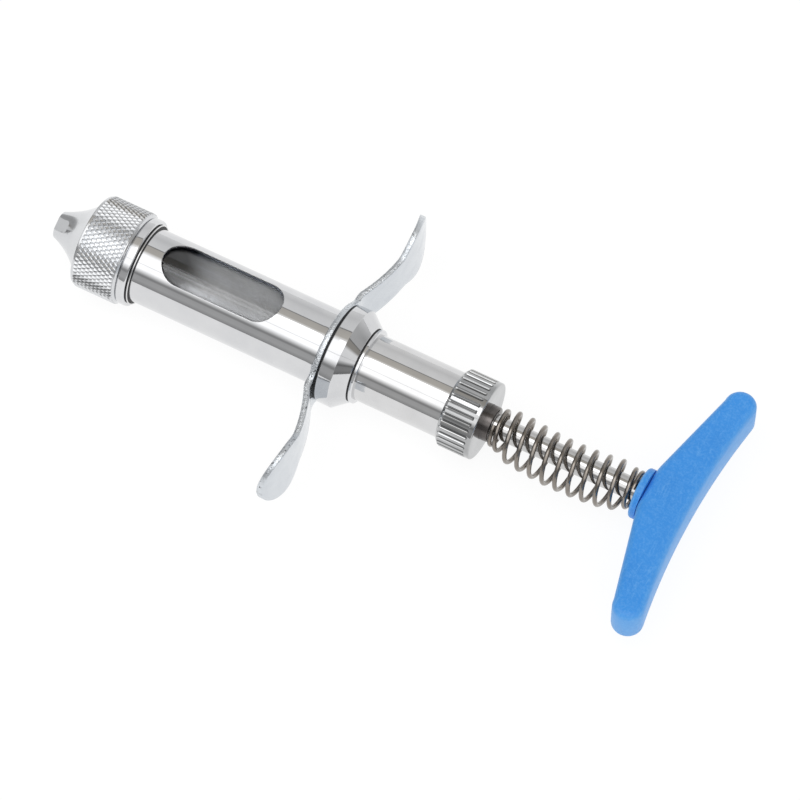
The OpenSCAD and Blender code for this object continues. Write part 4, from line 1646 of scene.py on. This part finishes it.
@dataclass
class Handle(Part):
    """Moulded T handle with its brass insert, and the spring seat in front of it."""

    depth: float = 12.2
    height: float = 11.4
    flat: float = 5.5
    flat_bend: float = 2.0
    sweep: float = 14.0
    lean: float = 3.2
    edge: float = 2.0
    rod_hole: float = 2.9
    insert_r: float = 4.3
    insert_cover: float = 1.2
    insert_len: float = 8.0
    seat_edge: float = 0.9
    seat_bore: float = 2.925
    arm_steps: int = 46
    tip_steps: int = 15

    def front(self, a: float, x0: float) -> float:
        """Station of the front face at a distance a from the axis."""
        return x0 + soft_ramp(a - self.flat, self.flat_bend) * math.tan(math.radians(self.sweep))

    def rear(self, a: float, x0: float, half: float) -> float:
        """Station of the rear face at a distance a from the axis."""
        return x0 + self.depth + self.lean * (a / half) ** 2

    def plan(self, size: Gauge) -> np.ndarray:
        """Outline seen from above, from the tip of one arm.

        Args:
            size: Reach of the handle.

        Returns:
            Rows of y and x.
        """
        x0, half = size.x0, size.y
        arm = half
        for _ in range(24):
            gap = (self.rear(arm, x0, half) - self.front(arm, x0)) / 2 + arm - half
            arm -= gap / 2
        mid_x = (self.rear(arm, x0, half) + self.front(arm, x0)) / 2
        end_r = (self.rear(arm, x0, half) - self.front(arm, x0)) / 2
        arc = np.radians(np.linspace(0, 90, self.tip_steps))
        arms = np.linspace(0, arm, self.arm_steps)[:-1]
        one = [(a, self.front(a, x0)) for a in arms]
        one += [(arm + end_r * math.sin(t), mid_x - end_r * math.cos(t)) for t in arc]
        other = [(a, self.rear(a, x0, half)) for a in arms]
        other += [(arm + end_r * math.sin(t), mid_x + end_r * math.cos(t)) for t in arc]
        near, far = ([(-y, x) for y, x in reversed(row[1:])] + row for row in (one, other))
        edge = np.array(near + far[-2:0:-1])
        edge[:, 1] = np.minimum(edge[:, 1], size.x1)
        return edge

    def build(self) -> None:
        """Build the handle and the seat and dress the insert."""
        size, seat = Gauge.of("t_handle"), Gauge.of("spring_seat")
        grip = slab(self.plan(size), self.height / 2, self.edge, lambda y, x, w: (x, y, w),
                    8, 12).build("t_grip")
        bore_x = size.x0 + self.insert_cover
        end_x = bore_x + self.insert_len
        carve(grip, SHARP, plug([(size.x0 - 1, self.rod_hole), (bore_x, self.rod_hole),
                                 (bore_x, self.insert_r), (end_x, self.insert_r)], COARSE))
        self.show(grip, self.finishes.blue, "blue_plastic", "t_handle", Body.PLUNGER)
        self.dress(self.finishes.brass, "handle_insert")
        self.turned("seat_boss", [
            Turn(seat.x0, self.seat_bore, 0.2), Turn(seat.x0, seat.r, self.seat_edge),
            Turn(seat.x1, seat.r, 0.15), Turn(seat.x1, self.seat_bore),
        ], self.finishes.blue, "blue_plastic", "spring_seat", Body.SEAT, steps=8, count=MEDIUM)


@dataclass
class Studio:
    """Pale floor, soft light and the camera.

    The sky changes with the angle round the X axis, from the front (0) over the top (90) to the
    rear (180), and less along the axis. Each band has its angle, level and warmth.
    """

    azimuth: float = 27.69
    elevation: float = 61.86
    distance: float = 1.243
    lens: float = 223.2
    aim: tuple[float, float, float] = (0.00874, -0.00288, -0.00368)
    floor_reach: float = 4000.0
    floor_gap: float = 0.02
    floor_glow: float = 0.9
    sky_level: float = 1.06
    lamp_size: tuple[float, float] = (1.0, 0.7)
    lamp_power: float = 3.0
    lamp_place: tuple[float, float, float] = (0.05, -0.3, 1.8)
    lamp_aim: tuple[float, float, float] = (0.09, 0.0, 0.0)
    bands: tuple[tuple[float, float, float], ...] = (
        (0.0, 0.30, 0.0), (5.0, 0.36, 0.0), (12.0, 0.44, 0.0), (24.0, 0.42, 0.0),
        (28.0, 0.27, 0.0), (31.0, 0.30, 0.0), (36.0, 0.62, 0.0), (42.0, 1.05, 0.0),
        (47.0, 1.45, 0.0), (59.4, 1.45, 0.0), (60.4, 0.75, 0.0), (61.4, 1.45, 0.0),
        (88.0, 1.45, 0.0), (100.0, 0.52, 0.05), (117.6, 0.47, 0.05), (118.6, 0.22, 0.0),
        (120.0, 0.22, 0.0), (121.2, 0.78, 0.0), (140.0, 0.75, 0.0), (156.0, 0.67, 0.0),
        (180.0, 0.80, 0.0),
    )
    sides: tuple[tuple[float, float], ...] = (
        (0.0, 0.5), (0.18, 0.55), (0.32, 1.0), (0.72, 1.0), (0.90, 0.6),
    )

    def build_camera(self) -> None:
        """Place the camera, looking at a point near the middle of the frame."""
        low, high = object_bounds()
        middle = (Vector(low) + Vector(high)) / 2
        target = Vector((middle.x, 0, 0)) + Vector(self.aim)
        a, e = math.radians(self.azimuth), math.radians(self.elevation)
        away = Vector((math.sin(a) * math.cos(e), -math.cos(a) * math.cos(e), math.sin(e)))
        lens = bpy.data.cameras.new("camera")
        lens.lens, lens.sensor_width = self.lens, 36.0
        lens.clip_start, lens.clip_end = 0.05, 20.0
        camera = hang("camera", lens, target + away * self.distance, -away)
        bpy.context.scene.camera = camera

    def build_floor(self) -> None:
        """Lay the pale floor under the lowest point of the frame."""
        reach, z = self.floor_reach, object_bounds()[0][2] / MM - self.floor_gap
        corners = ((-reach, -reach), (reach, -reach), (reach, reach), (-reach, reach))
        shape = Shape()
        shape.faces.append(tuple(shape.add(x, y, z) for x, y in corners))
        floor = shape.build("floor")
        finish = Finish("floor_paint", Roughness=0.9, Specular_IOR_Level=0.0,
                        Emission_Color=(1, 1, 1, 1), Emission_Strength=self.floor_glow)
        finish.drive(Base_Color=finish.ramp(finish.noise(0.004, 2.0), [
            (0.3, (0.12, 0.12, 0.12)), (0.7, (0.14, 0.14, 0.14)),
        ]))
        floor.data.materials.append(finish.material)
        floor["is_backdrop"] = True

    def build_light(self) -> None:
        """Hang the soft light: a banded sky like a light tent, and one broad lamp."""
        world = bpy.data.worlds.new("tent")
        bpy.context.scene.world = world
        world.use_nodes = True
        sky = Nodes(world.node_tree, "Generated")
        x, y, z = sky.add("SeparateXYZ", {0: sky.place}).outputs
        angle = sky.math("ARCTAN2", z, sky.math("MULTIPLY", y, -1.0))
        round_axis = sky.ramp(sky.math("DIVIDE", angle, math.pi), [
            (degrees / 180.0, (level * (1 + warm), level, level * (1 - 1.6 * warm)))
            for degrees, level, warm in self.bands
        ])
        along = sky.ramp(sky.span(x, 0.0, 1.0, -1.0, 1.0),
                         [(at, (level, level, level)) for at, level in self.sides])
        light = sky.add("Background", {
            "Color": sky.mix(1.0, round_axis, along, "MULTIPLY"), "Strength": self.sky_level,
        })
        sky.add("OutputWorld", {"Surface": light.outputs[0]})
        lamp = bpy.data.lights.new("soft_lamp", "AREA")
        lamp.shape, lamp.energy = "RECTANGLE", self.lamp_power
        lamp.size, lamp.size_y = self.lamp_size
        place = Vector(self.lamp_place)
        hang("soft_lamp", lamp, place, Vector(self.lamp_aim) - place)

    def build(self) -> None:
        """Set up the studio and the plain colour view."""
        self.build_camera()
        self.build_floor()
        self.build_light()
        bpy.context.scene.view_settings.view_transform = "Standard"


def hang(name: str, data: bpy.types.ID, place: Vector, way: Vector) -> bpy.types.Object:
    """Put a camera or a lamp in the scene.

    Args:
        name: Name of its object.
        data: The camera or lamp.
        place: Where it is.
        way: Where it looks.

    Returns:
        The object.
    """
    holder = bpy.data.objects.new(name, data)
    holder.location = place
    holder.rotation_euler = way.to_track_quat("-Z", "Y").to_euler()
    bpy.context.scene.collection.objects.link(holder)
    return holder


def plug(steps: Sequence[tuple[float, float]], count: int) -> bpy.types.Object:
    """Make the solid cutter of a round hole along the axis.

    Args:
        steps: Stations with their radii.
        count: Points round the axis.

    Returns:
        The cutter.
    """
    shape = Shape()
    rows = [(steps[0][0], 0), *steps, (steps[-1][0], 0)]
    shape.revolve([(x, r, 0) for x, r in rows], count, closed=False)
    return shape.build("hole_cutter")


def soft_ramp(d: float, k: float) -> float:
    """Ramp up from 0 with a short bend.

    Args:
        d: Distance from the middle of the bend.
        k: Half the width of the bend.

    Returns:
        The height of the ramp.
    """
    if d < -k:
        return 0.0
    return d if d > k else (d + k) ** 2 / (4 * k)


def blend_max(a: float, b: float, k: float) -> float:
    """Blend two values into the larger one.

    Args:
        a: One value.
        b: The other value.
        k: How close they are where the blend starts.

    Returns:
        The larger value, a little more where they are close.
    """
    h = max(k - abs(a - b), 0.0) / k
    return max(a, b) + h * h * k / 4


def main(frame: dict) -> None:
    """Build every sub-assembly of the syringe and the studio.
    """
    logging.basicConfig(level=logging.INFO, format="%(name)s: %(message)s")
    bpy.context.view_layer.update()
    Studio().build()
    finishes = Finishes()
    for part in (Nose, FrontRing, Sleeve, FingerPlate, Collar, RearEnd, Spring, Plunger, Handle):
        part(finishes, frame["nodes"]).build()


if __name__ == "__main__":
    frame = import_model()
    main(frame)
